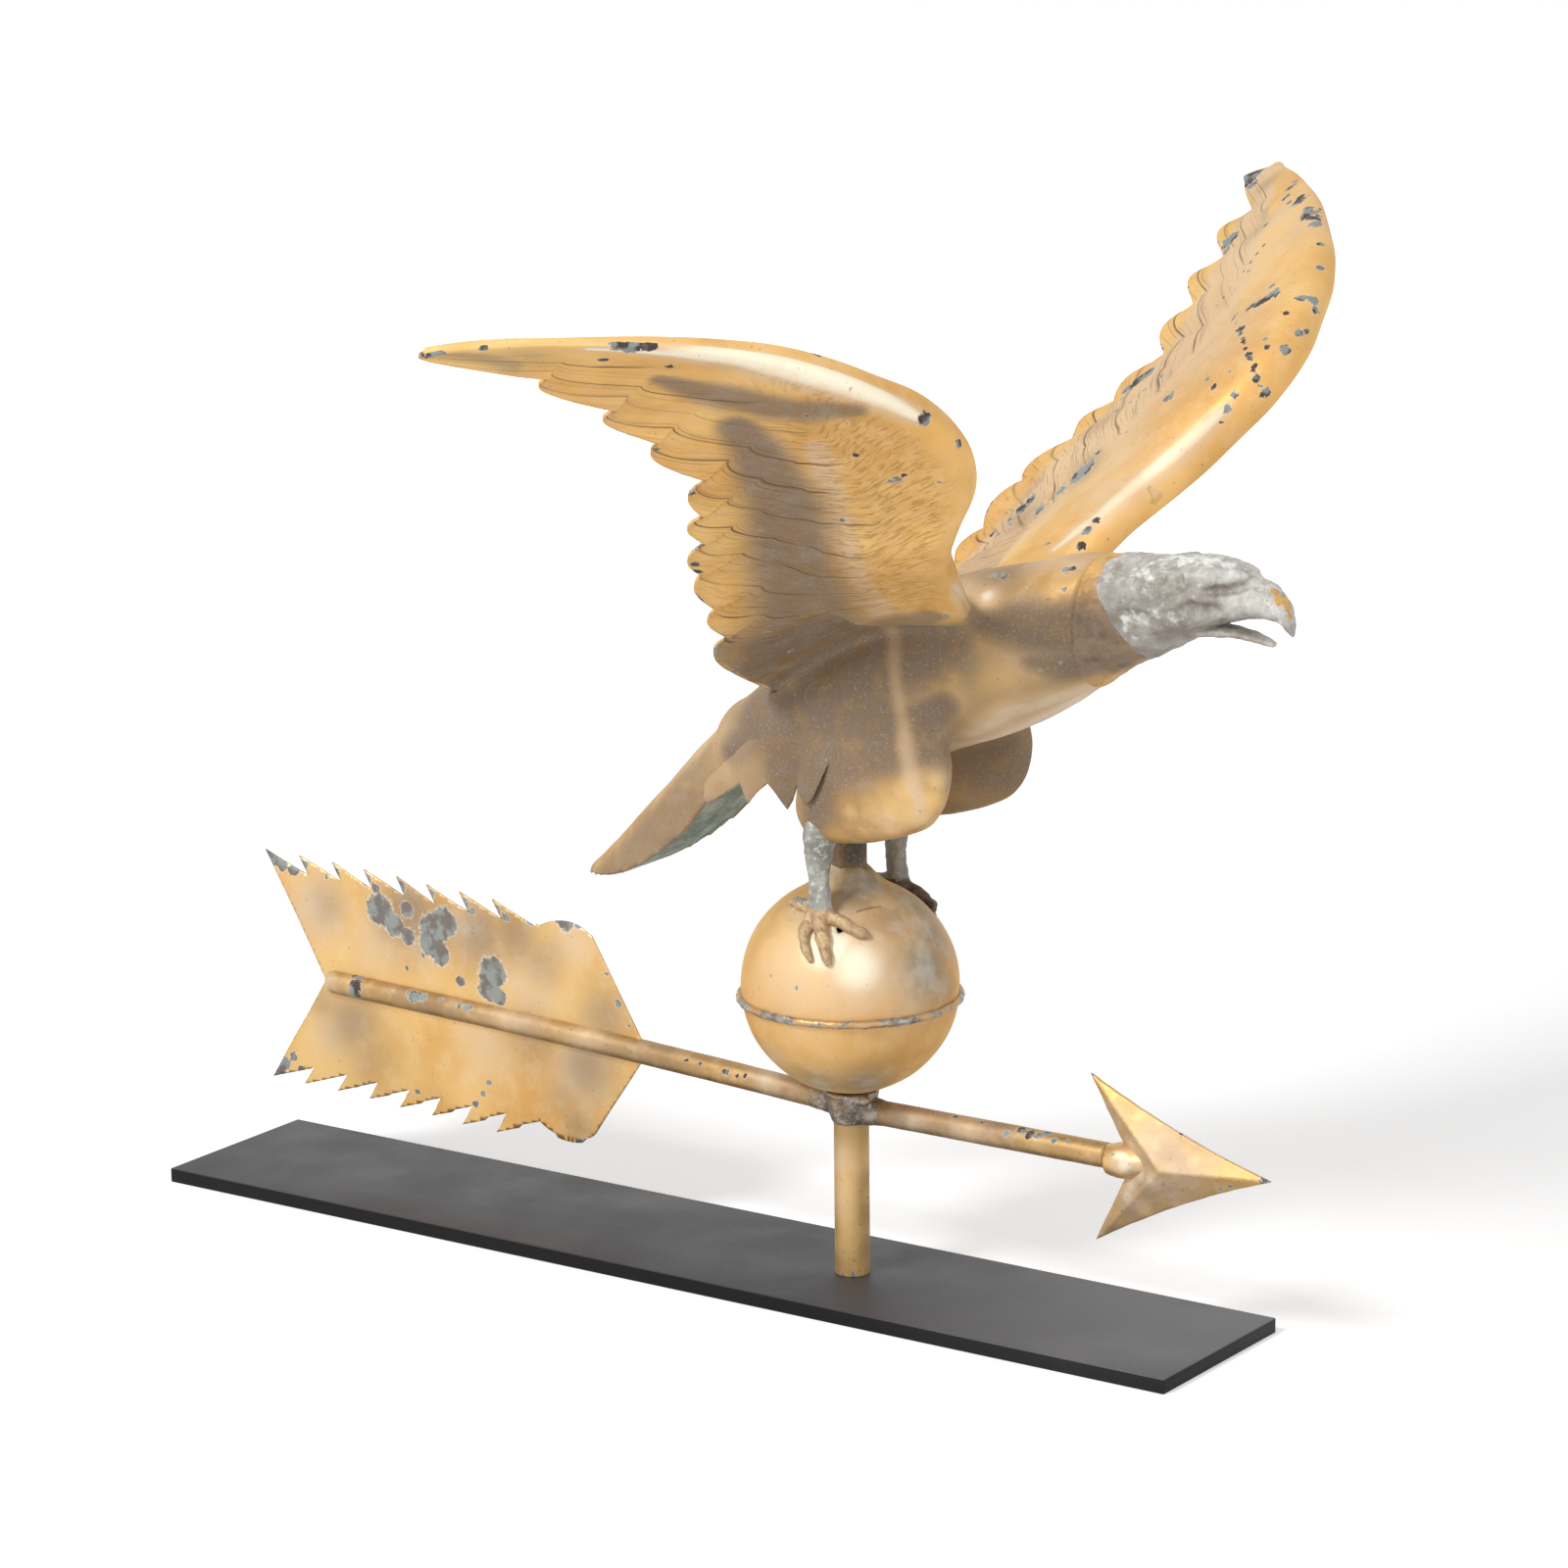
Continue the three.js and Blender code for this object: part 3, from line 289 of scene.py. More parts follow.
def finish_piece(piece, name, body, nodes, material):
    piece.name = name
    piece.data.name = name
    settle(piece)
    piece.data.materials.clear()
    piece.data.materials.append(material)
    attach(piece, body)
    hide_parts(*nodes)


def cut_away(piece, cutter):
    apply_modifier(piece, "BOOLEAN", operation="DIFFERENCE", solver="EXACT", object=cutter)
    bpy.data.objects.remove(cutter)


def make_base():
    length, width, thick, front = 775.5 * MM, 134 * MM, 9.6 * MM, 268 * MM
    plate = fresh(bpy.ops.mesh.primitive_cube_add, size=1, location=(front - length / 2, 0, thick / 2),
                  scale=(length, width, thick))
    settle(plate)
    bpy.ops.object.mode_set(mode="EDIT")
    bpy.ops.mesh.select_all(action="DESELECT")
    mesh = bmesh.from_edit_mesh(plate.data)
    for edge in mesh.edges:
        ends = edge.verts[0].co - edge.verts[1].co
        edge.select = abs(ends.z) > thick / 2
    bmesh.update_edit_mesh(plate.data)
    bpy.ops.mesh.bevel(offset=3 * MM, segments=6, affect="EDGES")
    bpy.ops.object.mode_set(mode="OBJECT")
    apply_modifier(plate, "BEVEL", width=0.8 * MM, segments=3, limit_method="ANGLE",
        angle_limit=math.radians(50))
    cut_away(plate, fresh(bpy.ops.mesh.primitive_cylinder_add, vertices=48, radius=6.65 * MM,
                          depth=12 * MM, location=(0, 0, 9 * MM)))
    smooth(plate, 35)
    finish_piece(plate, "base_bar", "stand", ["base_plate"], black_paint())


make_base()


# Spindle, guide bush and bearing plug: plain turned steel and bronze, out of sight in the tube.
# Their solids are right as they are, so they only get turned metal with fine tool rings.
def turned_metal(name, pale, deep):
    coat = Finish(name)
    rings = coat.grain(500, 2, 0.5, (0.02, 0.02, 1))
    stain = coat.grain(90, 3)
    coat.wear(Base_Color=coat.blend(stain, pale, deep))
    coat.wear(Metallic=0.95)
    coat.wear(Roughness=coat.reach(stain, 0.3, 0.7, 0.28, 0.42))
    coat.bump(rings, 0.2)
    return coat.material


def dress_hidden():
    steel = turned_metal("turned_steel", (0.6, 0.6, 0.6), (0.4, 0.39, 0.38))
    bearing = turned_metal("turned_bronze", (0.5, 0.33, 0.14), (0.3, 0.18, 0.08))
    for name, metal in (("spindle_rod", steel), ("lower_guide_bush", bearing), ("top_bearing_plug", bearing)):
        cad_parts[name].data.materials.clear()
        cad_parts[name].data.materials.append(metal)


dress_hidden()


# Post: a copper tube, 22 mm across, gilded and worn, from the plate up into the belly.
# All the gilt metal shares one finish: gold leaf with soft tarnish, pale rubs and bare chips.
def gilding(name, feathered=False, gold=(0.76, 0.49, 0.185), warm=(0.65, 0.36, 0.105), wear=0.5,
            grime=((0.2, 0.137, 0.092), (0.35, 0.26, 0.18)), gloss=(0.32, 0.48), matt=(0.14, 0.3),
            bared=((0.06, 0.04, 0.032), (0.27, 0.3, 0.285)), rough_edge=1.25):
    """Gold leaf, tarnished, pale and chipped where the piece is painted so; the strongest pale
    marks are a near-white painted highlight. Wear is how much it is pitted, matt what tarnish adds
    to the roughness and takes from the metal."""
    coat = Finish(name)
    tarnish = coat.field("tarnish")
    pale = coat.field("pale")
    chip = coat.field("chip")
    cloud = coat.grain(11, 3)
    mottle = coat.grain(70, 5, 0.62)
    speck = coat.grain(420, 3)
    fine = coat.grain(1300, 2)
    colour = coat.blend(coat.reach(cloud, 0.35, 0.65), gold, warm)
    rub = coat.reach(mottle, 0.42, 0.75, 0.0, 0.5)
    colour = coat.blend(rub, colour, (0.82, 0.59, 0.31))
    # Pale marks are dusty rubs; where the field is strongest they turn near-white cream, a painted highlight.
    pale_and_highlight_part = coat.times(pale, coat.reach(mottle, 0.25, 0.55, 0.7, 1.0))
    pale_dust_and_highlight = coat.blend(coat.reach(pale, 0.6, 0.95), (0.7, 0.54, 0.38), (0.96, 0.9, 0.73))
    colour = coat.blend(pale_and_highlight_part, colour, pale_dust_and_highlight)
    dull_cloud = coat.blend(coat.reach(mottle, 0.3, 0.7), *grime)
    dull = coat.times(tarnish, coat.reach(mottle, 0.3, 0.6, 0.78, 1.0))
    colour = coat.blend(dull, colour, dull_cloud)
    fleck = coat.times(coat.reach(coat.grain(620, 4, 0.7), 0.55, 0.68, 0, 0.5), dull)
    colour = coat.blend(fleck, colour, (0.5, 0.42, 0.33))
    height = coat.times(mottle, 0.5)
    height = coat.plus(height, coat.times(speck, 0.25))
    if feathered:
        lay = coat.field("lay", "Vector")
        _, row, strength = coat.parts(lay)
        across = coat.sums("FRACT", coat.plus(row, 0.5))
        from_quill = coat.sums("ABSOLUTE", coat.less(across, 0.5))
        veins = coat.grain(1.0, 4, 0.6, (22, 14, 0), lay)
        ticks = coat.grain(1.0, 3, 0.6, (60, 30, 0), lay)
        breaks = coat.reach(coat.grain(1.0, 2, 0.5, (14, 3, 0), lay), 0.42, 0.56, 0.12, 1.0)
        quill = coat.reach(from_quill, 0.05, 0.012)
        quill = coat.times(quill, coat.times(breaks, strength))
        vein_line = coat.reach(veins, 0.56, 0.64)
        tick_line = coat.times(coat.reach(ticks, 0.57, 0.66), 0.6)
        lines = coat.larger(vein_line, tick_line)
        lines = coat.times(lines, strength)
        groove = coat.larger(quill, coat.times(lines, 0.5))
        colour = coat.blend(coat.times(groove, 0.85), colour, (0.14, 0.078, 0.035))
        height = coat.less(height, coat.times(quill, 1.8))
        height = coat.less(height, coat.times(lines, 1.0))
        dents = coat.grain(1.0, 2, 0.6, (85, 13, 0), lay)
        dent = coat.times(coat.reach(dents, 0.5, 0.38), coat.field("ripple"))
        colour = coat.blend(coat.times(dent, 0.5), colour, (0.38, 0.2, 0.055))
        height = coat.less(height, coat.times(dent, 3.0))
    pits = coat.times(coat.reach(speck, 0.66, 0.74), wear)
    colour = coat.blend(pits, colour, (0.12, 0.07, 0.035))
    ragged = coat.grain(300, 5, 0.68)
    chance = coat.reach(coat.grain(32, 3), 0.7, 0.78, 0.0, 0.42)
    edge = coat.plus(coat.larger(chip, chance), coat.times(ragged, rough_edge))
    edge = coat.plus(edge, 0.625 - rough_edge / 2)
    bare = coat.reach(edge, 1.12, 1.18)
    rim = coat.less(coat.reach(edge, 1.05, 1.12), bare)
    old = coat.grain(95, 3)
    below = coat.blend(coat.reach(old, 0.42, 0.56), *bared)
    colour = coat.blend(coat.times(rim, 0.55), colour, (0.74, 0.68, 0.6))
    colour = coat.blend(bare, colour, below)
    coat.wear(Base_Color=colour)
    shine = coat.reach(mottle, 0.25, 0.7, *gloss)
    shine = coat.plus(shine, coat.times(coat.larger(dull, bare), matt[0]))
    coat.wear(Roughness=shine)
    metal = coat.less(0.72, coat.times(bare, 0.5))
    metal = coat.less(metal, coat.times(coat.larger(dull, pale_and_highlight_part), matt[1]))
    coat.wear(Metallic=metal)
    height = coat.less(height, coat.times(bare, 1.0))
    height = coat.plus(height, coat.times(fine, 0.12))
    coat.bump(height, 0.35, 0.0006)
    return coat.material


def corners(piece, kind="co"):
    flat = np.empty(len(piece.data.vertices) * 3)
    piece.data.vertices.foreach_get(kind, flat)
    return flat.reshape(-1, 3)


def normals(piece):
    return corners(piece, "normal")


def set_corners(piece, places):
    piece.data.vertices.foreach_set("co", np.asarray(places, dtype=float).ravel())
    piece.data.update()


def ease(values, low, high):
    t = np.clip((values - low) / (high - low), 0, 1)
    return t * t * (3 - 2 * t)


def soft_marks(places, marks):
    """The strongest of round soft marks, each (x, y, z, size, strength) with lengths in mm."""
    field = np.zeros(len(places))
    for x, y, z, size, strength in marks:
        away = np.linalg.norm(places - np.array((x, y, z)) * MM, axis=1) / (size * MM)
        field = np.maximum(field, strength * np.exp(-away ** 2 * 0.8))
    return field


def streak(places, path, strength=1.0, soft=0.5):
    """A long stain that follows a path of (x, y, z, half width)."""
    field = np.zeros(len(places))
    for start, end in zip(path[:-1], path[1:]):
        a, b = np.array(start) * MM, np.array(end) * MM
        step = b[:3] - a[:3]
        t = np.clip((places - a[:3]) @ step / (step @ step), 0, 1)
        away = np.linalg.norm(places - a[:3] - t[:, None] * step, axis=1) / (a[3] + t * (b[3] - a[3]))
        field = np.maximum(field, strength * (1 - ease(away, 1 - soft, 1 + soft)))
    return field


def chip_marks(places, marks):
    """Chips, each (x, y, z, size) in mm. The leaf's own noise makes their rims ragged."""
    field = np.zeros(len(places))
    for x, y, z, size in marks:
        away = np.linalg.norm(places - np.array((x, y, z)) * MM, axis=1) / (size * MM)
        field = np.maximum(field, np.clip(1.05 - 0.55 * away, 0, 1))
    return field


def store(piece, name, values):
    kind = "FLOAT" if np.ndim(values) == 1 else "FLOAT_VECTOR"
    field = piece.data.attributes.get(name) or piece.data.attributes.new(name, kind, "POINT")
    field.data.foreach_set("value" if kind == "FLOAT" else "vector", np.asarray(values, dtype=float).ravel())


def paint(piece, tarnish=(), pale=(), chips=(), base=0.0):
    places = corners(piece)
    store(piece, "tarnish", np.clip(np.maximum(soft_marks(places, tarnish), base), 0, 1))
    store(piece, "pale", np.clip(soft_marks(places, pale), 0, 1))
    store(piece, "chip", chip_marks(places, chips))


def push_out(piece, push):
    set_corners(piece, corners(piece) + normals(piece) * np.asarray(push)[:, None])


def hammer(piece, size, depth, seed=0.0):
    shift = Vector((seed, seed, seed))
    push_out(piece, [noise.noise(Vector(place) / size + shift) * depth for place in corners(piece)])


def make_post():
    low, high, rows = 9.9 * MM, 395 * MM, 128
    post = fresh(bpy.ops.mesh.primitive_cylinder_add, vertices=72, radius=11.1 * MM, depth=high - low,
                 location=(0, 0, (low + high) / 2), end_fill_type="NOTHING")
    settle(post)
    bpy.ops.object.mode_set(mode="EDIT")
    for step in range(1, rows):
        bpy.ops.mesh.select_all(action="SELECT")
        bpy.ops.mesh.bisect(plane_co=(0, 0, low + (high - low) * step / rows), plane_no=(0, 0, 1))
    bpy.ops.object.mode_set(mode="OBJECT")
    apply_modifier(post, "SOLIDIFY", thickness=1.6 * MM, offset=-1)
    smooth(post, 50)
    paint(post,
        tarnish=[(0, 0, 108, 14, 0.7), (0, 0, 96, 10, 0.35), (10, -4, 285, 40, 1), (-9, -6, 286, 12, 0.7),
            (-4, -10, 300, 20, 0.9), (0, -11, 280, 12, 0.9), (0, 0, 9, 4, 0.9), (11, 5, 70, 9, 0.5),
            (11, 5, 50, 9, 0.5), (11, 5, 30, 9, 0.4)],
        pale=[(-4, -10, 85, 10, 0.6), (-4, -10, 60, 10, 0.4)],
        chips=[(-9, -6, 52, 2.6), (-9, -6, 47, 2), (0, -11, 11, 1.8), (6, -9, 11, 2), (-7, -8, 11, 1.8),
            (10, -4, 80, 1.4)])
    leaf = gilding("post_gilding", wear=0.8, gold=(0.68, 0.455, 0.19), warm=(0.58, 0.34, 0.115),
                   grime=((0.028, 0.022, 0.017), (0.085, 0.07, 0.058)), gloss=(0.4, 0.6))
    finish_piece(post, "gilt_post", "vane", ["post_tube"], leaf)


make_post()


# Ball: two copper half shells, 137 mm across, raised over a stake and soldered together
# a little below the middle. The upper half has a slot, a small hole and solder round the post.
def ball_half(upper):
    radius, middle, seam = 68.4 * MM, 198 * MM, 191 * MM
    half = fresh(bpy.ops.mesh.primitive_uv_sphere_add, segments=160, ring_count=96, radius=radius,
                 location=(0, 0, middle))
    settle(half)
    bpy.ops.object.mode_set(mode="EDIT")
    bpy.ops.mesh.select_all(action="SELECT")
    bpy.ops.mesh.bisect(plane_co=(0, 0, seam), plane_no=(0, 0, 1), clear_inner=upper, clear_outer=not upper)
    bpy.ops.mesh.select_all(action="DESELECT")
    mesh = bmesh.from_edit_mesh(half.data)
    near_post = [v for v in mesh.verts if math.hypot(v.co.x, v.co.y) < 11 * MM]
    bmesh.ops.delete(mesh, geom=near_post, context="VERTS")
    bmesh.update_edit_mesh(half.data)
    bpy.ops.object.mode_set(mode="OBJECT")
    hammer(half, 22 * MM, 0.35 * MM)
    if upper:
        raise_cap(half)
    apply_modifier(half, "SOLIDIFY", thickness=1 * MM, offset=-1)
    return half


def raise_cap(half):
    """The solder that was run round the post: a low lumpy cone on the ball's top."""
    places = corners(half)
    out = np.hypot(places[:, 0], places[:, 1]) / MM
    lump = np.array([noise.noise(Vector(place) * 130) for place in places])
    cone = np.clip((29 + 4 * lump - out) / 18, 0, 1)
    places[:, 2] += (9.5 * cone ** 2.1 + 1.1 * lump * ease(cone, 0, 0.3)) * MM * (places[:, 2] > 240 * MM)
    set_corners(half, places)


def ball_marks(half):
    paint(half,
        tarnish=[(63, -10, 221, 21, 1), (56, 6, 235, 19, 0.9), (41, 13, 251, 22, 0.8), (67, 2, 208, 14, 0.7),
            (44, -16, 248, 16, 0.6), (16, -20, 260, 16, 0.8), (-8, -38, 254, 12, 0.5),
            (30, -32, 146, 15, 0.85), (7, -45, 146, 13, 0.7), (0, 0, 130, 20, 0.4), (-62, 20, 220, 26, 0.7),
            (-40, 45, 232, 24, 0.6), (30, 60, 190, 26, 0.5), (-50, -10, 150, 16, 0.4), (22, -43, 245, 4, 0.9),
            (0, 0, 272, 22, 1), (14, -8, 266, 16, 1)],
        # pale: the first three marks, high on the ball's near side, are painted highlights.
        pale=[(8, -62, 222, 32, 0.62), (18, -52, 238, 26, 1), (38, -48, 226, 28, 0.92),
            (62, -28, 205, 16, 0.5), (-20, -55, 160, 10, 0.5), (50, 30, 236, 16, 0.6)],
        chips=[(6, -66, 212, 1.8), (-15, -64, 216, 1.2), (57, -36, 197, 1.6), (59, -40, 186, 1.2),
            (7, -43, 147, 1), (-5, -58, 232, 1.1), (22, -43, 245, 2.6), (-50, 40, 214, 3),
            (-20, 60, 180, 2.4), (40, 50, 170, 2)])


def make_ball():
    leaf = gilding("ball_gilding", wear=0.35, grime=((0.27, 0.235, 0.18), (0.52, 0.475, 0.39)),
        gloss=(0.6, 0.74), matt=(0.14, 0.5))
    shells = ball_half(True), ball_half(False)
    slot = fresh(bpy.ops.mesh.primitive_cube_add, size=1, location=(29.5 * MM, -22 * MM, 256 * MM),
                 rotation=(0, 0, math.radians(60)))
    slot.scale = (17 * MM, 1.4 * MM, 10 * MM)
    cut_away(shells[0], slot)
    cut_away(shells[0], fresh(bpy.ops.mesh.primitive_uv_sphere_add, segments=20, ring_count=12,
                              radius=1.9 * MM, location=(22 * MM, -43.5 * MM, 246 * MM)))
    for half, side in zip(shells, ("upper", "lower")):
        smooth(half, 50)
        ball_marks(half)
        finish_piece(half, f"ball_{side}_shell", "vane", [f"ball_{side}_half"], leaf)


make_ball()


# Seam bead: the two rims rolled together and run with soft solder, rough and bright in places.
def solder_metal(name, pale=(0.42, 0.4, 0.36), deep=(0.17, 0.15, 0.13), gilt=0.0, lumps=0.6):
    coat = Finish(name)
    lump = coat.grain(130, 4, 0.6)
    fine = coat.grain(520, 3)
    colour = coat.blend(coat.reach(lump, 0.36, 0.66), deep, pale)
    bright = coat.reach(fine, 0.58, 0.7, 0, 0.5)
    colour = coat.blend(bright, colour, (0.66, 0.64, 0.6))
    leafed = coat.times(coat.reach(coat.grain(75, 3), 0.46, 0.56), gilt)
    colour = coat.blend(leafed, colour, (0.56, 0.34, 0.13))
    coat.wear(Base_Color=colour)
    coat.wear(Metallic=0.55)
    coat.wear(Roughness=coat.reach(lump, 0.3, 0.7, 0.5, 0.3))
    coat.bump(coat.plus(lump, coat.times(fine, 0.4)), lumps)
    return coat.material


def make_bead():
    bead = fresh(bpy.ops.mesh.primitive_torus_add, major_radius=68.9 * MM, minor_radius=2.5 * MM,
                 major_segments=260, minor_segments=16, location=(0, 0, 191 * MM))
    settle(bead)
    hammer(bead, 5 * MM, 0.5 * MM)
    hammer(bead, 2.2 * MM, 0.25 * MM, 3)
    bpy.ops.object.shade_smooth()
    solder = solder_metal("seam_solder", gilt=0.8)
    finish_piece(bead, "ball_solder_seam", "vane", ["ball_seam_bead"], solder)


make_bead()


# Arrow shafts: 16 mm copper tube. The rear one rises 2.4 degrees and is bowed a little by age.
# A tube is drawn along its middle line, with its radius at each place.
def faces_out(piece, merge=0.0):
    only(piece)
    bpy.ops.object.mode_set(mode="EDIT")
    bpy.ops.mesh.select_all(action="SELECT")
    if merge:
        bpy.ops.mesh.remove_doubles(threshold=merge)
    bpy.ops.mesh.normals_make_consistent(inside=False)
    bpy.ops.object.mode_set(mode="OBJECT")


def drawn_tube(points, radii, sides=24):
    line = fresh(bpy.ops.curve.primitive_bezier_curve_add)
    curve = line.data
    curve.splines.clear()
    spline = curve.splines.new("POLY")
    spline.points.add(len(points) - 1)
    for point, place, radius in zip(spline.points, points, radii):
        point.co = (*place, 1)
        point.radius = radius / radii[0]
    curve.dimensions = "3D"
    curve.twist_mode = "MINIMUM"
    curve.bevel_depth = radii[0]
    curve.bevel_resolution = max(sides // 4 - 1, 0) * 2
    curve.use_fill_caps = True
    only(line)
    bpy.ops.object.convert(target="MESH")
    tube = bpy.context.object
    faces_out(tube, merge=0.01 * MM)
    tube.data.shade_smooth()
    return tube


shaft_radius, rear_lift, rear_bow, rear_long = 7.95, math.radians(2.4), 2, 422


def rear_place(along):
    """Place on the rear shaft's middle line, along in mm from the post."""
    x, z = -along, rear_bow * math.sin(math.pi * min(along / rear_long, 1))
    sine, cosine = math.sin(rear_lift), math.cos(rear_lift)
    return Vector((x * cosine + z * sine, 0, 120 - x * sine + z * cosine)) * MM


def make_shafts():
    leaf = gilding("shaft_gilding", wear=0.7, gold=(0.47, 0.3, 0.13), warm=(0.4, 0.23, 0.08),
        gloss=(0.42, 0.58))
    straight = [9 + 405 * i / 150 for i in range(151)]
    dome = [(414.05 + shaft_radius * math.sin(t), shaft_radius * math.cos(t))
        for t in np.linspace(0.2, 1.5, 7)]
    points = [rear_place(along) for along in straight] + [rear_place(along) for along, _ in dome]
    radii = [shaft_radius * MM] * len(straight) + [radius * MM for _, radius in dome]
    rear = drawn_tube(points, radii)
    hammer(rear, 16 * MM, 0.15 * MM)
    paint(rear,
        tarnish=[(-40, 0, 122, 20, 0.6), (-20, 0, 120, 12, 0.9), (-250, -3, 138, 12, 0.3),
            (-180, -8, 125, 14, 0.4), (-150, 8, 126, 30, 0.6), (-330, 8, 134, 30, 0.6)],
        pale=[(-260, -5, 138, 20, 0.5), (-420, -6, 140, 9, 0.7), (-60, -6, 128, 12, 0.7),
            (-200, -6, 135, 16, 0.5)],
        chips=[(-392, -6, 141, 5), (-392, -8, 134, 5), (-393, 0, 143, 5), (-361, -7, 141, 1.9),
            (-343, -7, 140, 4.2), (-336, -6, 140, 3.4), (-348, -5, 141, 2.6), (-321, -5, 141, 2),
            (-298, -6, 139, 3), (-305, -6, 139, 2), (-122, -7, 131, 1.9), (-111, -7, 130, 1.9),
            (-91, -7, 128, 2.6), (-76, -7, 128, 1.8), (-82, -7, 127, 1.9), (-240, 8, 131, 4),
            (-130, 8, 128, 3), (-310, 8, 134, 4)])
    finish_piece(rear, "arrow_rear_tube", "vane", ["arrow_shaft_rear"], leaf)
    points = [Vector((9 + 179 * i / 80, 0, 117.8)) * MM for i in range(81)]
    front = drawn_tube(points, [shaft_radius * MM] * len(points))
    hammer(front, 16 * MM, 0.15 * MM)
    paint(front,
        tarnish=[(22, 0, 118, 14, 1), (40, -5, 118, 12, 0.8), (75, -3, 124, 16, 0.6), (110, 0, 125, 16, 0.7),
            (60, 6, 120, 20, 0.7)],
        pale=[(50, -7, 117, 14, 0.7), (90, -8, 116, 16, 0.6)],
        chips=[(119, -6, 122, 2.6), (135, -5, 124, 3.6), (142, -5, 124, 2.8), (153, -6, 123, 2.4),
            (162, -5, 124, 1.8), (128, -3, 125, 3), (146, -2, 125, 3), (100, -3, 125, 2), (80, -2, 125, 2)])
    finish_piece(front, "arrow_front_tube", "vane", ["arrow_shaft_front"], leaf)


make_shafts()


# Arrow joint: a solder collar, wiped warm, that fills the corner of post, ball and shafts.
def melt_together(parts, voxel, passes):
    bpy.ops.object.select_all(action="DESELECT")
    for part in parts:
        part.select_set(True)
    bpy.context.view_layer.objects.active = parts[0]
    if len(parts) > 1:
        bpy.ops.object.join()
    whole = bpy.context.object
    apply_modifier(whole, "REMESH", mode="VOXEL", voxel_size=voxel)
    if passes:
        apply_modifier(whole, "SMOOTH", factor=0.5, iterations=passes)
    only(whole)
    bpy.ops.object.shade_smooth()
    return whole


def make_joint():
    collar = fresh(bpy.ops.mesh.primitive_cone_add, vertices=64, radius1=12.2 * MM, radius2=18.2 * MM,
                   depth=22 * MM, location=(0, 0, 119.5 * MM))
    lump = fresh(bpy.ops.mesh.primitive_uv_sphere_add, segments=32, ring_count=16, radius=4.2 * MM,
                 location=(14 * MM, -9 * MM, 127 * MM))
    lump.scale = (1.6, 0.8, 0.9)
    rear = drawn_tube([rear_place(x) for x in (8, 16, 24, 30)], [r * MM for r in (9.6, 9.2, 8.5, 7.7)])
    front = drawn_tube([Vector((x, 0, 117.8)) * MM for x in (8, 16, 22, 27)],
        [r * MM for r in (9.6, 9.1, 8.4, 7.7)])
    joint = melt_together([collar, lump, rear, front], 0.8 * MM, 22)
    hammer(joint, 6 * MM, 0.5 * MM)
    hammer(joint, 2.5 * MM, 0.2 * MM)
    finish_piece(joint, "arrow_joint_collar", "vane", ["arrow_joint_solder"],
                 solder_metal("wiped_solder", (0.36, 0.31, 0.25), (0.16, 0.13, 0.1), gilt=0.3, lumps=0.4))


make_joint()


# Fletching: two panels of thin sheet, cut with eight barbs that lean back, a round lobe and
# a long slant down to the shaft. They are soldered along the tube and have buckled a little.
def mesh_piece(name, points, faces):
    mesh = bpy.data.meshes.new(name)
    mesh.from_pydata(points, [], faces)
    piece = bpy.data.objects.new(name, mesh)
    bpy.context.collection.objects.link(piece)
    return piece


def cut_sheet(outline, spacing, thickness, name):
    xs = [x for x, _ in outline]
    zs = [z for _, z in outline]
    rim = []
    for (ax, az), (bx, bz) in zip(outline, outline[1:] + outline[:1]):
        count = max(1, round(math.hypot(bx - ax, bz - az) / spacing))
        rim += [(ax + (bx - ax) * k / count, az + (bz - az) * k / count) for k in range(count)]
    middle = [(x, z) for x in np.arange(min(xs), max(xs), spacing) for z in np.arange(min(zs), max(zs),
            spacing)]
    edges = [(k, (k + 1) % len(rim)) for k in range(len(rim))]
    points, _, faces, *_ = delaunay_2d_cdt([Vector(p) for p in rim + middle], edges, [list(range(len(rim)))],
        1, 0.00001)
    piece = mesh_piece(name, [(p.x, 0, p.y) for p in points], faces)
    apply_modifier(piece, "SOLIDIFY", thickness=thickness, offset=0)
    faces_out(piece)
    return piece


def panel_outline(side, half, back):
    depth, pitch, overhang, teeth = 12.6, 27.2, 8, 8
    rear, slant, notch = 473.5 - back, 162.5, 422.6
    first = rear - (teeth - 1) * pitch
    foot = half - depth
    outline = [(-notch, 0.0), (-rear, half)]
    for tooth in range(teeth - 2, -1, -1):
        tip = -(first + tooth * pitch)
        outline += [(tip + overhang, foot), (tip, half)]
    lobe = -first + pitch + overhang
    end = lobe + pitch * 1.6
    crown = foot + depth * 0.8
    knots = (lobe, foot), (lobe + pitch * 0.5, crown), (end - pitch * 0.3, crown), (end, foot)
    for t in np.linspace(0, 1, 14):
        s = 1 - t
        outline.append(tuple(s ** 3 * a + 3 * s * s * t * b + 3 * s * t * t * c + t ** 3 * d for a, b, c,
                d in zip(*knots)))
    outline += [(-slant, shaft_radius), (-slant, 0.0)]
    return [(x * MM, side * z * MM) for x, z in outline]


def buckle(places):
    """Two waves along the sheet that grow with the distance from the shaft."""
    x, z = places[:, 0], places[:, 2]
    wave = 0.0016 * np.sin(x * 31 + 1.4) * np.abs(z) / 0.08
    ripple = 0.0007 * np.sin(x * 95 + z * 60) * np.abs(z) / 0.08
    return wave + ripple


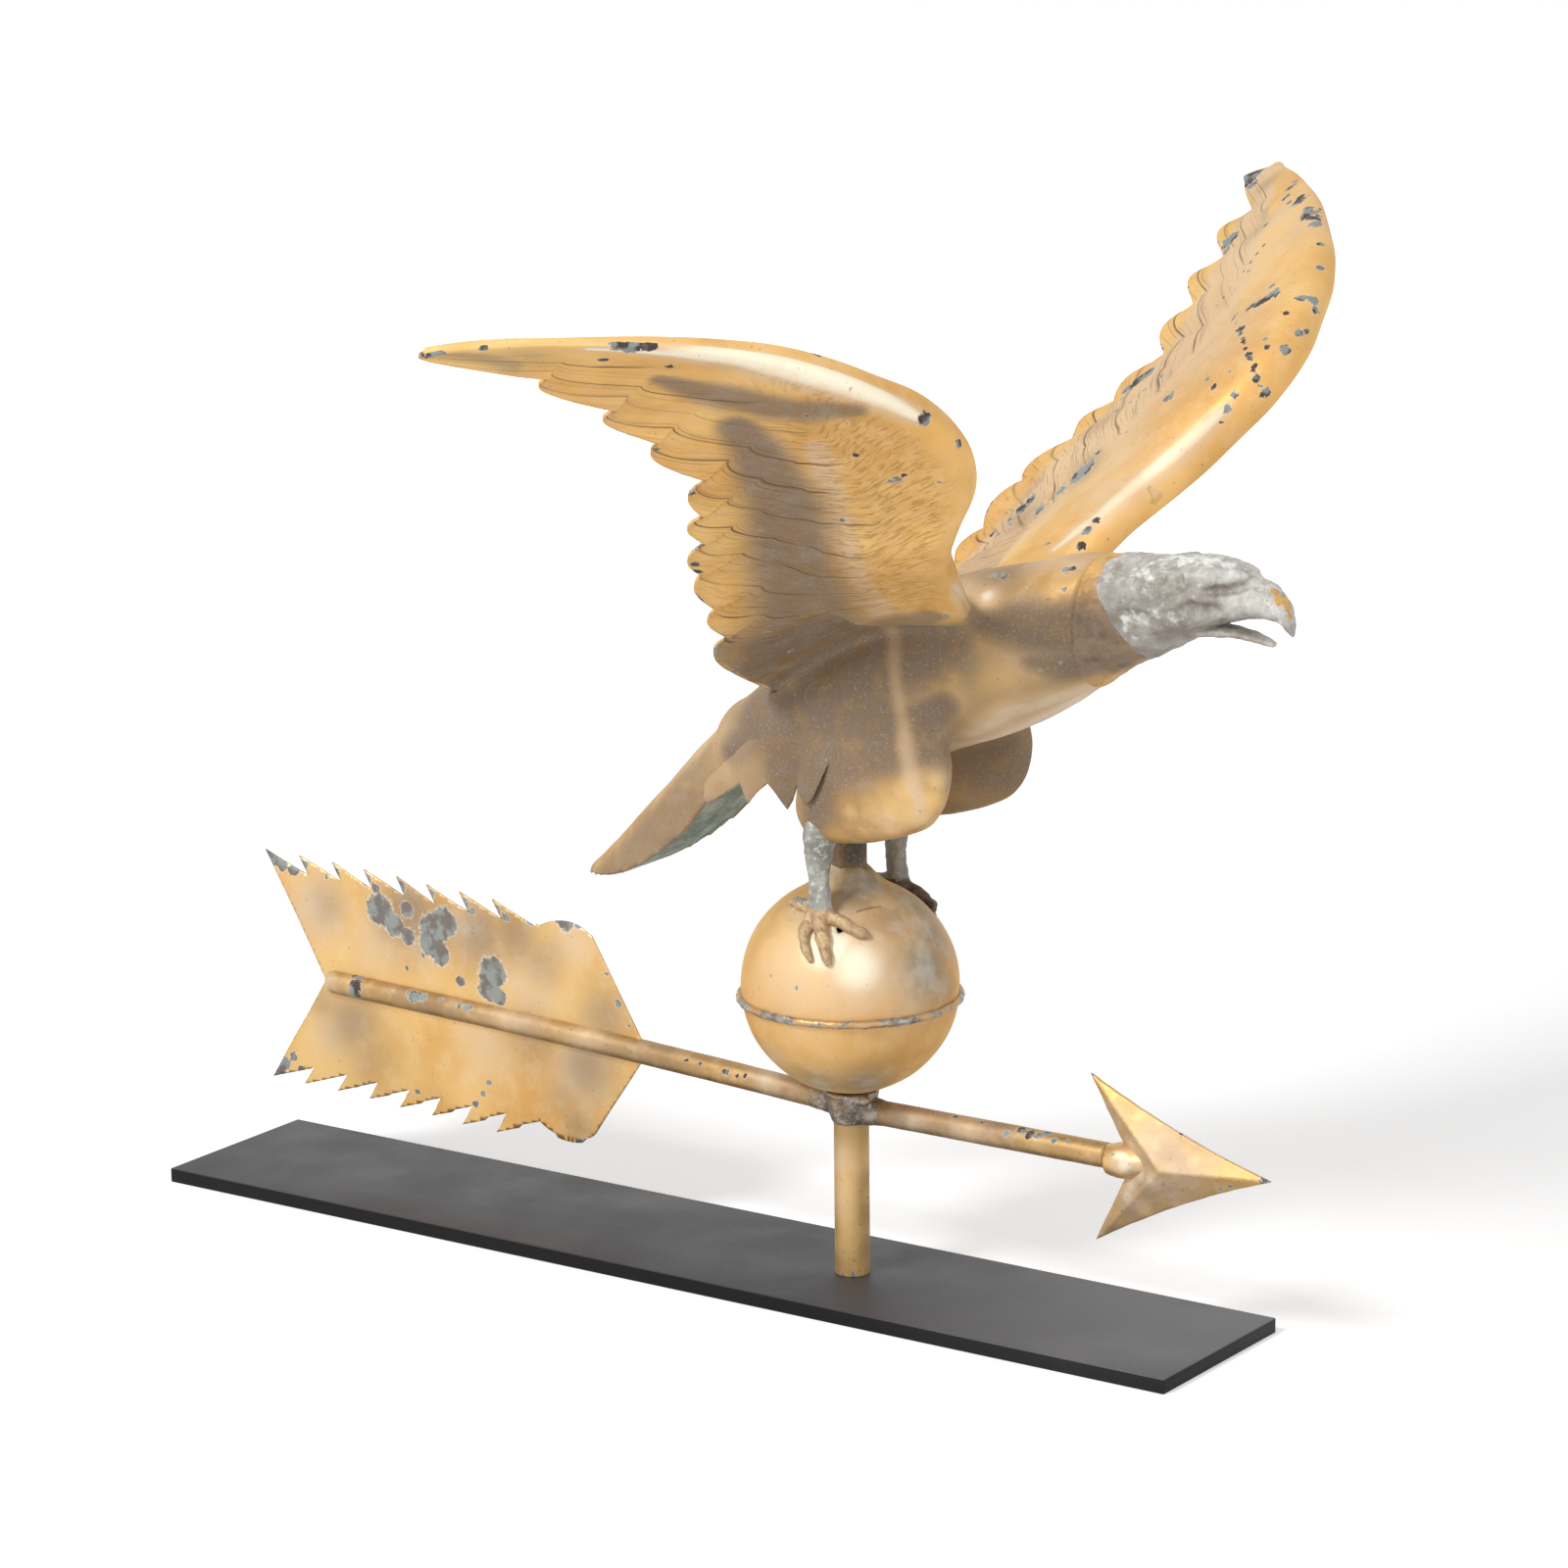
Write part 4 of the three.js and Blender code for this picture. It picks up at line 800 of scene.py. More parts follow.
def make_fletching():
    leaf = gilding("fletching_gilding", wear=0.45, bared=((0.17, 0.145, 0.125), (0.27, 0.29, 0.265)),
        rough_edge=0.6)
    for name, node, side, half, back in (("fletching_top_panel", "fletching_upper", 1, 82, 0),
                                         ("fletching_bottom_panel", "fletching_lower", -1, 76.3, 5.5)):
        panel = cut_sheet(panel_outline(side, half, back), 2.6 * MM, 1.2 * MM, name)
        places = corners(panel)
        places[:, 1] += buckle(places)
        x, z = places[:, 0].copy(), places[:, 2].copy()
        bow = rear_bow * MM * np.sin(np.pi * np.clip(-x / (rear_long * MM), 0, 1))
        z = z + bow * (np.abs(z) < 70 * MM)
        places[:, 0] = x * math.cos(rear_lift) + z * math.sin(rear_lift)
        places[:, 2] = 120 * MM - x * math.sin(rear_lift) + z * math.cos(rear_lift)
        set_corners(panel, places)
        paint(panel,
            tarnish=[(-350, 0, 196, 26, 0.85), (-364, 0, 188, 16, 0.8), (-326, 0, 190, 20, 0.7),
                (-290, 0, 188, 24, 0.75), (-262, 0, 192, 20, 0.75), (-240, 0, 180, 18, 0.5),
                (-192, 0, 146, 20, 0.7), (-205, 0, 112, 22, 0.75), (-250, 0, 124, 22, 0.5),
                (-400, 0, 112, 22, 0.7), (-385, 0, 92, 20, 0.45), (-425, 0, 120, 12, 0.5),
                (-420, 0, 190, 16, 0.5), (-225, 0, 88, 18, 0.4), (-215, 0, 70, 12, 0.6)],
            pale=[(-430, 0, 186, 22, 0.7), (-380, 0, 168, 20, 0.5), (-302, 0, 190, 14, 0.8),
                (-250, 0, 160, 22, 0.5), (-215, 0, 195, 16, 0.6), (-420, 0, 100, 16, 0.5),
                (-290, 0, 112, 20, 0.5), (-215, 0, 105, 20, 0.6), (-336, 0, 172, 16, 0.4)],
            chips=[(-329, -1, 186, 12), (-320, -1, 192, 11), (-333, -1, 176, 9), (-324, -1, 170, 8),
                (-281, -1, 164, 11), (-284, -1, 153, 9), (-276, -1, 148, 6), (-375, -1, 193, 11),
                (-363, -1, 184, 8), (-351, -1, 178, 6), (-352, -1, 196, 6), (-308, -1, 154, 4),
                (-401, -1, 162, 2), (-353, -1, 156, 2), (-365, -1, 163, 1.4), (-339, -1, 166, 1.4),
                (-465, -1, 218, 8), (-456, -1, 213, 5), (-447, -1, 210, 4), (-440, -1, 214, 5),
                (-413, -1, 213, 4.5), (-420, -1, 209, 3), (-386, -1, 212, 5), (-378, -1, 207, 3.4),
                (-357, -1, 211, 4.5), (-330, -1, 210, 4), (-303, -1, 208, 4), (-296, -1, 203, 3),
                (-276, -1, 207, 4), (-268, -1, 203, 3.4), (-248, -1, 204, 4), (-222, -1, 207, 8),
                (-212, -1, 206, 4), (-466, -1, 66, 7), (-460, -1, 74, 5), (-452, -1, 80, 3.6),
                (-446, -1, 72, 3), (-214, -1, 57, 5), (-204, -1, 58, 4), (-286, -1, 88, 2.6),
                (-291, -1, 80, 2.6), (-297, -1, 72, 3), (-304, -1, 67, 2), (-282, -1, 95, 1.4),
                (-389, -1, 82, 1.6), (-397, -1, 75, 1.6), (-347, -1, 72, 2.6), (-352, -1, 68, 1.8),
                (-180, 0, 158, 3), (-172, 0, 144, 2), (-189, 0, 176, 2)])
        panel.data.shade_smooth()
        finish_piece(panel, name, "vane", [node], leaf)


make_fletching()


# Arrowhead: two thin halves pressed with a ridge to the tip and one to each barb, soldered
# round the edge, on a short sleeve that swells over the end of the shaft.
def head_place(x, y, z):
    sine, cosine = math.sin(math.radians(-2.2)), math.cos(math.radians(-2.2))
    return Vector((200 + x * cosine + z * sine, y, 116.5 - x * sine + z * cosine)) * MM


def make_arrowhead():
    length, back, half, throat, hollow, ridge = 103, 22.5, 53, 10.5, 8.2, 12.4
    tip, barb = (length, 0), (-back, half)
    bend = ((tip[0] + barb[0]) / 2, barb[1] / 2 - hollow)
    upper = []
    for t in np.linspace(0, 1, 12):
        s = 1 - t
        upper.append(tuple(s * s * a + 2 * s * t * b + t * t * c for a, b, c in zip(tip, bend, barb)))
    lower = [(x, -z) for x, z in reversed(upper[1:])]
    outline = upper + [(0, throat), (0, -throat)] + lower
    count = len(outline)
    points = [head_place(x, 0.9 * side, z) for side in (1, -1) for x, z in outline]
    apex = [head_place(length * 0.3, side * ridge, 0) for side in (1, -1)]
    faces = [(i, (i + 1) % count, 2 * count) for i in range(count)]
    faces += [((i + 1) % count + count, i + count, 2 * count + 1) for i in range(count)]
    faces += [(i, i + count, (i + 1) % count + count, (i + 1) % count) for i in range(count)]
    head = mesh_piece("arrow_point", points + apex, faces)
    faces_out(head)
    head = melt_together([head], 0.8 * MM, 5)
    hammer(head, 9 * MM, 0.3 * MM)
    paint(head, base=0.1,
        tarnish=[(222, -9, 100, 14, 0.85), (236, -8, 104, 14, 0.85), (250, -6, 106, 12, 0.7),
            (206, -6, 88, 12, 0.8), (192, -3, 72, 12, 0.8), (240, 9, 122, 30, 0.7), (200, 5, 140, 16, 0.5),
            (197, -8, 108, 8, 0.5)],
        pale=[(206, -8, 128, 10, 0.8), (216, -10, 124, 9, 0.7), (206, -8, 104, 10, 0.9),
            (214, -10, 112, 9, 0.9), (225, -10, 132, 16, 0.7), (192, -5, 142, 9, 0.7),
            (245, -8, 122, 14, 0.6), (204, -7, 96, 9, 0.9), (224, -10, 110, 8, 0.8), (240, -8, 110, 7, 0.6)],
        chips=[(300, 0, 120, 5), (177, 0, 168, 1.6), (232, -1, 146, 1.8), (240, -1, 141, 2),
            (213, -1, 157, 1.2), (268, -1, 112, 2.4), (275, -1, 114, 2), (176, -1, 63, 2.4),
            (186, 0, 67, 1.8), (240, 8, 108, 3), (205, 7, 132, 2.6)])
    leaf = gilding("arrow_point_gilding", wear=0.9, gold=(0.62, 0.4, 0.14), warm=(0.54, 0.31, 0.09),
                   grime=((0.3, 0.22, 0.15), (0.5, 0.38, 0.27)), gloss=(0.42, 0.56))
    halves = ["arrowhead_right_half", "arrowhead_left_half"]
    finish_piece(head, "arrow_point", "vane", halves, leaf)
    stations = [(-12, 9.2), (-9, 10), (-5, 10.9), (-1, 11.3), (3, 10.9), (7, 9.6), (12, 8), (18, 6.4),
        (22, 5)]
    sleeve = drawn_tube([head_place(x, 0, 0) for x, _ in stations], [r * MM for _, r in stations], 32)
    apply_modifier(sleeve, "SUBSURF", levels=2, render_levels=2)
    hammer(sleeve, 7 * MM, 0.4 * MM)
    paint(sleeve, tarnish=[(212, -6, 112, 7, 0.4), (200, 8, 118, 12, 0.6)], pale=[(205, -8, 117, 9, 0.9)],
          chips=[(197, -9, 122, 1.4), (196, -9, 108, 1.2)])
    leaf = gilding("sleeve_gilding", wear=0.7)
    finish_piece(sleeve, "arrow_point_sleeve", "vane", ["arrowhead_socket"], leaf)


make_arrowhead()


# Wings: 457 mm each, two sheets soldered along the edges. A fat rolled leading edge thins
# into the feathers, which end in round scallops near the body and long points outside.
def share_curve(rows):
    table = np.array(rows, float)
    knots, values = table[:, 0], table[:, 1:]
    last = len(knots) - 1

    def read(places):
        at = np.clip(np.atleast_1d(np.asarray(places, float)), knots[0], knots[-1])
        i = np.clip(np.searchsorted(knots, at, side="right"), 1, last)
        t0, t1 = knots[i - 1], knots[i]
        before = np.where(i < 2, i, i - 2)
        after = np.where(i >= last, i - 1, np.minimum(i + 1, last))
        half = (t1 - t0) / 2
        from_prev = half / (t0 - knots[before])
        to_next = half / (knots[after] - t1)
        p = (at - t0) / (t1 - t0)
        parts = ((-from_prev * p ** 3 + 2 * from_prev * p ** 2 - from_prev * p, before),
            ((1 + from_prev) * p ** 3 + (-1.5 - 2 * from_prev) * p ** 2 + (-0.5 + from_prev) * p + 1, i - 1),
            ((-1 - to_next) * p ** 3 + (1.5 + to_next) * p ** 2 + 0.5 * p, i),
            (to_next * p ** 3 - to_next * p ** 2, after))
        return sum(weight[:, None] * values[row] for weight, row in parts)

    return read


# The wing's box in mm: out from the middle, forward of the post, up from its root.
wing_out, wing_forward, wing_foot, wing_high = 457, 212, 388, 276
leading_edge = share_curve([(0.081, 0.56, 0.232), (0.155, 0.637, 0.297), (0.223, 0.698, 0.384),
    (0.285, 0.774, 0.46), (0.317, 0.849, 0.525), (0.343, 0.929, 0.601), (0.381, 0.981, 0.674),
    (0.434, 1, 0.75), (0.485, 0.981, 0.812), (0.543, 0.939, 0.862), (0.6, 0.873, 0.909),
    (0.663, 0.778, 0.949), (0.742, 0.656, 0.978), (0.817, 0.524, 0.993), (0.889, 0.396, 1), (0.941, 0.292, 1),
    (0.985, 0.225, 0.996), (1, 0.19, 0.989)])
# Scallops: notch, feather tip and next notch. Each is place out, place forward and height.
scallops = [
    ((0.215, -0.085, 0.094), (0.245, -0.088, 0.141), (0.272, -0.008, 0.192)),
    ((0.272, -0.008, 0.192), (0.302, -0.019, 0.232), (0.321, 0.028, 0.272)),
    ((0.321, 0.028, 0.272), (0.357, 0.024, 0.322), (0.383, 0.08, 0.37)),
    ((0.383, 0.08, 0.37), (0.415, 0.09, 0.409), (0.44, 0.175, 0.457)),
    ((0.44, 0.175, 0.457), (0.475, 0.184, 0.5), (0.492, 0.255, 0.536)),
    ((0.492, 0.255, 0.536), (0.528, 0.259, 0.587), (0.553, 0.358, 0.634)),
    ((0.553, 0.358, 0.634), (0.606, 0.278, 0.685), (0.641, 0.34, 0.732)),
    ((0.641, 0.34, 0.732), (0.696, 0.259, 0.783), (0.726, 0.344, 0.819)),
    ((0.726, 0.344, 0.819), (0.798, 0.231, 0.87), (0.838, 0.307, 0.906)),
    ((0.838, 0.307, 0.906), (0.902, 0.198, 0.935), (0.935, 0.152, 0.95))]
root_edge = np.array([(0.05, -0.132, -0.03), (0.081, -0.132, 0), (0.145, -0.14, 0.05),
    (0.215, -0.085, 0.094)])
point_edge = np.array([(0.935, 0.152, 0.95), (0.962, 0.113, 0.964), (0.985, 0.137, 0.976), (1, 0.178, 0.987)])
notch_outs = np.array([98, 124, 147, 175, 201, 225, 253, 293, 332, 383, 440]) * MM
feather_rows = np.concatenate([[0, 23, 48, 73], notch_outs / MM, [540, 680]]) * MM


def trailing_edge(outs):
    edge = np.zeros((len(outs), 2))
    for table in (root_edge, point_edge):
        inside = (outs >= table[0, 0]) & (outs <= table[-1, 0])
        for k in (0, 1):
            edge[inside, k] = np.interp(outs[inside], table[:, 0], table[:, k + 1])
    for start, tip, end in scallops:
        inside = (outs >= start[0]) & (outs <= end[0])
        u = (outs[inside] - start[0]) / (end[0] - start[0])
        peak = (tip[0] - start[0]) / (end[0] - start[0])
        swell = np.sin(math.pi * u ** (math.log(0.5) / math.log(peak))) ** 0.72
        for k in (0, 1):
            line = start[k + 1] + (end[k + 1] - start[k + 1]) * u
            reach_out = tip[k + 1] - (start[k + 1] + (end[k + 1] - start[k + 1]) * peak)
            round_out = 2.4 / wing_forward if k == 0 and tip[0] < 0.5 else 0
            edge[inside, k] = line + (reach_out - round_out) * swell
    return edge


def feather_row(out_mm, share):
    """Which feather a place belongs to: the quills bend inward towards the leading edge."""
    bend = np.interp(share, [0, 0.15, 0.25, 0.37, 0.45, 0.55, 0.65, 0.75, 0.82, 0.9, 1],
                     [0.7, 0.69, 0.67, 0.635, 0.645, 0.672, 0.73, 0.8, 0.86, 0.915, 1])
    return np.interp(out_mm / bend * MM, feather_rows, np.arange(len(feather_rows)))


edge_outs = np.linspace(0.05, 1, 400)
edge_weights = np.exp(-((edge_outs[:, None] - edge_outs[None, :]) / 0.045) ** 2)
calm_edge = edge_weights @ trailing_edge(edge_outs) / edge_weights.sum(1)[:, None]


def wing_grid(outs, shares, side, hand, extra=0.0, least=None):
    """Points on the skin, outs along the half span and shares back from the leading edge. The
    sheet is even, and only its outline has scallops. Also the way from the front and the feather."""
    def wing_place(line, out):
        return np.stack([line[:, 0] * wing_forward, -out * wing_out, wing_foot + line[:, 1] * wing_high], 1)

    def front_at(out):
        return wing_place(leading_edge(out), np.clip(out, 0.05, 1))

    edge = trailing_edge(outs)
    even = np.stack([np.interp(outs, edge_outs, calm_edge[:, k]) for k in (0, 1)], 1)
    part = (ease(outs, 0.12, 0.22) * ease(-outs, -0.95, -0.87))[:, None]
    rear, even_rear = wing_place(edge, outs), wing_place(even * part + edge * (1 - part), outs)
    fat, slim, thin = 19, 3.2, 1.12
    roll = (fat + (slim - fat) * ease(outs, 0.35, 0.92)) * (0.6 + 0.4 * ease(outs, 0.12, 0.4))
    front = front_at(outs)
    along = front_at(np.minimum(outs + 0.02, 1)) - front_at(outs - 0.02)
    along /= np.linalg.norm(along, axis=1)[:, None]
    chord = even_rear - front
    front = front + chord / np.linalg.norm(chord, axis=1)[:, None] * (roll * 0.14)[:, None]
    chord = even_rear - front
    length = np.linalg.norm(chord, axis=1)
    end = (np.sum((rear - front) * chord, 1) / length ** 2)[:, None]
    aside = rear - front - chord * end
    normal = np.cross(chord, along)
    normal /= np.linalg.norm(normal, axis=1)[:, None]
    normal *= np.sign(normal[:, 2])[:, None]
    nose = np.minimum(roll / length, 0.5)[:, None]
    s = shares[None, :] * end
    rise = np.sqrt(np.clip(1 - np.clip(1 - s / nose, 0, 1) ** 2, 0, 1))
    fall = np.cos(math.pi / 2 * np.clip((s - nose) / (0.62 - nose), 0, 1)) ** 2
    row = feather_row(outs[:, None] * wing_out, s + (1 - end) * shares ** 4)
    crown = 0.3 * np.abs(np.sin(math.pi * row)) ** 0.6 * ease(shares, 0.86, 1)
    crown = crown - 0.15 * np.exp(-(np.abs(row - np.round(row)) / 0.04) ** 2) * ease(s, 0.4, 0.6)
    half = thin * np.minimum(rise * 1.4, 1) + (roll[:, None] - thin) * (0.85 if side > 0
        else 0.8) * rise * fall
    half = half + crown * (1 - np.exp(-((outs - 0.1) / 0.1) ** 2))[:, None] + extra
    if least is not None:
        half = np.maximum(half, least[:, None] * np.minimum(rise * 1.2, 1))
    camber = 12 * (1 - outs)[:, None] * np.sin(math.pi * np.clip(s / 0.94, 0, 1))
    places = front[:, None] + chord[:, None] * s[..., None] + normal[:, None] * (camber + side * half)[...,
        None]
    places += aside[:, None] * ease(shares, 0.84, 1)[None, :, None]
    places[..., 1] *= -hand
    return places * MM, s, row, length


def round_rim(top, under):
    """Loops from the rear edge over the top to the front and back along the underside."""
    return np.concatenate([top[:, ::-1], under[:, 1:]], 1)


def ring_mesh(name, loops):
    """A closed skin through loops of places, its two ends filled."""
    rows, columns = loops.shape[:2]
    at = np.arange(rows * columns).reshape(rows, columns)
    beside = np.roll(at, -1, 1)
    quads = np.stack([at[:-1], beside[:-1], beside[1:], at[1:]], -1).reshape(-1, 4).tolist()
    ends = [at[0][::-1].tolist(), at[-1].tolist()]
    piece = mesh_piece(name, loops.reshape(-1, 3).tolist(), quads + ends)
    faces_out(piece)
    piece.data.shade_smooth()
    return piece


def chip_line(start, end, size, count):
    return [(*(np.array(start) + (np.array(end) - start) * k / (count - 1)), size) for k in range(count)]


# Marks on each side of each wing, in mm: what is dull, what is pale or a painted highlight, and where the
# leaf is gone.
near_under = dict(tarnish=[(36, -452, 659, 7, 0.9), (44, -440, 660, 6, 0.6), (66, -404, 656, 18, 0.35)],
    tarnish_runs=[([(109, -268, 598, 12), (108, -248, 582, 15), (97, -218, 559, 19), (88, -190, 537, 23),
        (72, -165, 513, 25), (63, -148, 496, 27), (54, -127, 474, 30), (39, -98, 449, 34),
        (10, -84, 430, 40)], 1, 0.55),
        ([(101, -329, 632, 6), (110, -306, 625, 12), (123, -289, 620, 16), (134, -275, 615, 17),
        (149, -266, 613, 15), (166, -265, 614, 11), (182, -259, 614, 7)], 0.95, 0.6),
        ([(36, -452, 659, 9), (48, -425, 655, 7), (58, -404, 648, 7)], 0.6, 0.9),
        ([(-6, -108, 430, 24), (7, -59, 420, 26), (51, -51, 428, 26), (85, -63, 446, 17), (113, -78, 458, 9)],
        0.85, 0.5),
        ([(90, -50, 442, 14), (112, -50, 447, 13), (125, -55, 457, 9)], 0.8, 0.7)],
    pale=[(96, -388, 658, 4, 0.7), (64, -330, 628, 14, 0.4), (40, -400, 640, 14, 0.3)],
    # The first pale run, along the leading edge, and the pale mark at its start are a painted highlight.
    pale_runs=[([(96, -388, 658, 3), (118, -360, 655, 5), (135, -342, 652, 9), (149, -326, 649, 12),
        (161, -308, 643, 14), (174, -291, 637, 14), (186, -272, 630, 12), (197, -252, 620, 9),
        (205, -232, 608, 5)], 0.92, 0.95),
        ([(137, -231, 584, 7), (120, -194, 551, 8), (103, -160, 519, 9), (96, -137, 495, 9),
        (89, -116, 479, 9), (84, -89, 461, 10), (74, -70, 448, 9)], 0.62, 0.6),
        ([(146, -102, 484, 4), (136, -77, 472, 7), (128, -57, 461, 8)], 0.75, 0.8)],
    chips=[(60, -433, 662, 2.6), (113, -371, 658, 6.5), (107, -377, 661, 4.5), (120, -364, 659, 4.5),
        (91, -367, 649, 3.2), (115, -339, 643, 2.8), (38, -457, 660, 6), (45, -452, 660, 3.6),
        (57, -371, 631, 1.4), (68, -287, 584, 2.2), (61, -245, 552, 2.8), (20, -186, 497, 3),
        (17, -180, 492, 3), (206, -226, 606, 4.6), (210, -197, 589, 3.6), (156, -220, 580, 2.6),
        (193, -191, 564, 1.6), (169, -198, 564, 3.2), (163, -196, 562, 2.2), (175, -200, 568, 2.2),
        (152, -262, 608, 2.2), (110, -166, 529, 2.2), (11, -82, 428, 3), (122, -75, 459, 2.2),
        (208, -182, 582, 2.2), (30, -300, 590, 1.8), (150, -150, 530, 1.5)])
near_top = dict(tarnish=[(150, -260, 640, 20, 0.5), (60, -200, 560, 30, 0.4), (90, -100, 470, 30, 0.5),
        (80, -60, 455, 22, 0.7), (122, -50, 455, 14, 0.9), (131, -63, 465, 9, 0.6)],
    pale=[(138, -80, 475, 9, 0.6), (40, -300, 600, 60, 0.5), (40, -160, 520, 50, 0.5),
        (20, -100, 450, 40, 0.5)],
    chips=[(60, -420, 660, 4), (170, -280, 645, 3.4), (180, -230, 628, 4), (160, -180, 590, 3),
        (120, -200, 585, 4), (190, -160, 560, 3), (90, -260, 600, 3), (110, -120, 505, 3)])
near_top["chips"] += chip_line((140, -290, 640), (160, -250, 625), 2.4, 9)
near_top["chips"] += chip_line((100, -150, 530), (75, -130, 500), 2.6, 8)
far_top = dict(tarnish=[(80, 146, 509, 14, 0.6), (60, 190, 530, 12, 0.4), (45, 130, 475, 16, 0.5),
        (95, 330, 640, 10, 0.4), (60, 410, 655, 10, 0.5)],
    # pale: rubs that are in part painted highlight; the pale run along the rolled edge is a painted
    # highlight.
    pale=[(120, 110, 500, 20, 0.6), (115, 330, 652, 20, 0.6), (95, 140, 530, 36, 0.65),
        (130, 200, 590, 44, 0.6), (60, 120, 480, 26, 0.6), (40, 430, 656, 26, 0.7), (110, 270, 620, 36, 0.5),
        (150, 290, 648, 30, 0.4)],
    pale_runs=[([(184, 150, 558, 3), (179, 144, 552, 5), (167, 136, 539, 7), (155, 128, 526, 8),
        (144, 118, 516, 9), (135, 103, 504, 9), (127, 88, 492, 8), (116, 78, 483, 7), (108, 66, 474, 4)], 0.8,
        0.9)],
    chips=[(126, 334, 657, 6), (148, 306, 654, 6), (99, 371, 660, 4), (162, 291, 650, 5),
        (104, 355, 656, 3.5), (156, 222, 606, 3), (163, 219, 608, 4.5), (167, 219, 611, 5),
        (170, 222, 615, 4.5), (172, 224, 617, 3.5), (142, 224, 597, 2.4), (151, 212, 596, 2),
        (159, 201, 594, 3), (164, 195, 593, 2.4), (169, 189, 591, 2.2), (174, 183, 589, 2),
        (178, 177, 587, 2.2), (182, 172, 585, 2), (186, 168, 583, 2.2), (191, 164, 577, 2.8),
        (194, 161, 572, 2.6), (197, 162, 568, 2.2), (200, 164, 564, 3.4), (30, 430, 654, 9),
        (67, 346, 627, 8), (69, 228, 552, 8), (76, 228, 557, 6), (62, 227, 546, 5), (32, 436, 658, 8),
        (40, 420, 654, 5), (97, 379, 663, 2.6), (123, 341, 659, 3.4), (143, 313, 656, 4),
        (155, 298, 652, 3.6), (148, 300, 652, 2.6), (114, 341, 655, 2.4), (164, 291, 650, 2.4),
        (68, 344, 626, 4.6), (70, 338, 621, 3.4), (179, 267, 641, 2.4), (191, 245, 630, 3),
        (164, 234, 618, 2.8), (155, 221, 605, 3), (162, 220, 609, 3.4), (170, 219, 613, 4),
        (176, 219, 615, 3), (196, 213, 615, 3.4), (202, 217, 614, 4), (206, 214, 609, 3), (193, 199, 608, 2),
        (205, 193, 597, 2.8), (208, 199, 598, 2.4), (189, 180, 594, 2), (194, 176, 589, 2.6),
        (203, 181, 588, 3.8), (140, 229, 599, 2.2), (162, 199, 595, 3.4), (172, 185, 590, 2.4),
        (184, 171, 585, 2.4), (191, 165, 579, 2.4), (195, 161, 573, 2.6), (199, 162, 564, 3.2),
        (201, 171, 559, 2.8), (191, 191, 564, 1.6), (175, 163, 575, 2), (159, 163, 568, 2.4),
        (168, 155, 566, 2.8), (185, 151, 563, 2.8), (183, 146, 555, 2.8), (180, 144, 547, 1.6),
        (124, 172, 553, 3.6), (127, 173, 556, 2.8), (101, 161, 531, 1.6), (79, 146, 508, 4.6),
        (83, 149, 513, 3.6), (74, 145, 504, 3.6), (84, 156, 519, 2), (91, 157, 524, 2), (66, 138, 493, 2.4),
        (62, 136, 490, 1.6), (57, 133, 486, 2.4), (57, 127, 482, 2.2), (127, 85, 490, 2.8),
        (124, 78, 485, 3.4), (126, 69, 477, 3.4), (99, 74, 475, 2.2), (63, 225, 545, 4), (68, 228, 551, 5.4),
        (75, 230, 558, 4.8), (66, 213, 543, 3), (43, 143, 484, 3), (39, 139, 479, 3), (35, 130, 472, 2.4),
        (29, 126, 465, 2.4), (104, 331, 640, 2.4), (121, 297, 633, 1.6), (121, 279, 619, 2),
        (100, 255, 586, 1.6), (97, 210, 560, 2.4), (73, 198, 536, 2.4), (80, 146, 509, 6.5),
        (77, 143, 504, 6), (83, 156, 519, 3.5), (68, 139, 495, 3.8), (57, 130, 484, 4.4), (36, 143, 479, 4.4),
        (41, 146, 486, 4.4), (128, 169, 554, 4.4), (21, 131, 464, 3), (31, 136, 473, 3)])
far_top["chips"] += chip_line((143, 340, 664), (160, 298, 655), 3.6, 8)
far_top["chips"] += chip_line((121, 297, 633), (100, 255, 588), 1.5, 10)
far_top["chips"] += chip_line((97, 215, 563), (80, 196, 538), 1.6, 7)
far_under = dict(tarnish=[(120, 290, 620, 20, 0.8), (80, 210, 548, 34, 0.8), (50, 140, 480, 34, 0.9),
        (40, 85, 440, 40, 1), (80, 60, 442, 30, 0.9)],
    pale=[(150, 305, 637, 20, 0.6), (180, 260, 612, 16, 0.5)],
    chips=[(80, 400, 655, 4), (150, 290, 632, 5), (200, 220, 600, 4), (120, 200, 560, 4), (60, 300, 600, 3),
        (160, 170, 540, 3), (30, 190, 500, 3), (90, 120, 490, 3.4)])


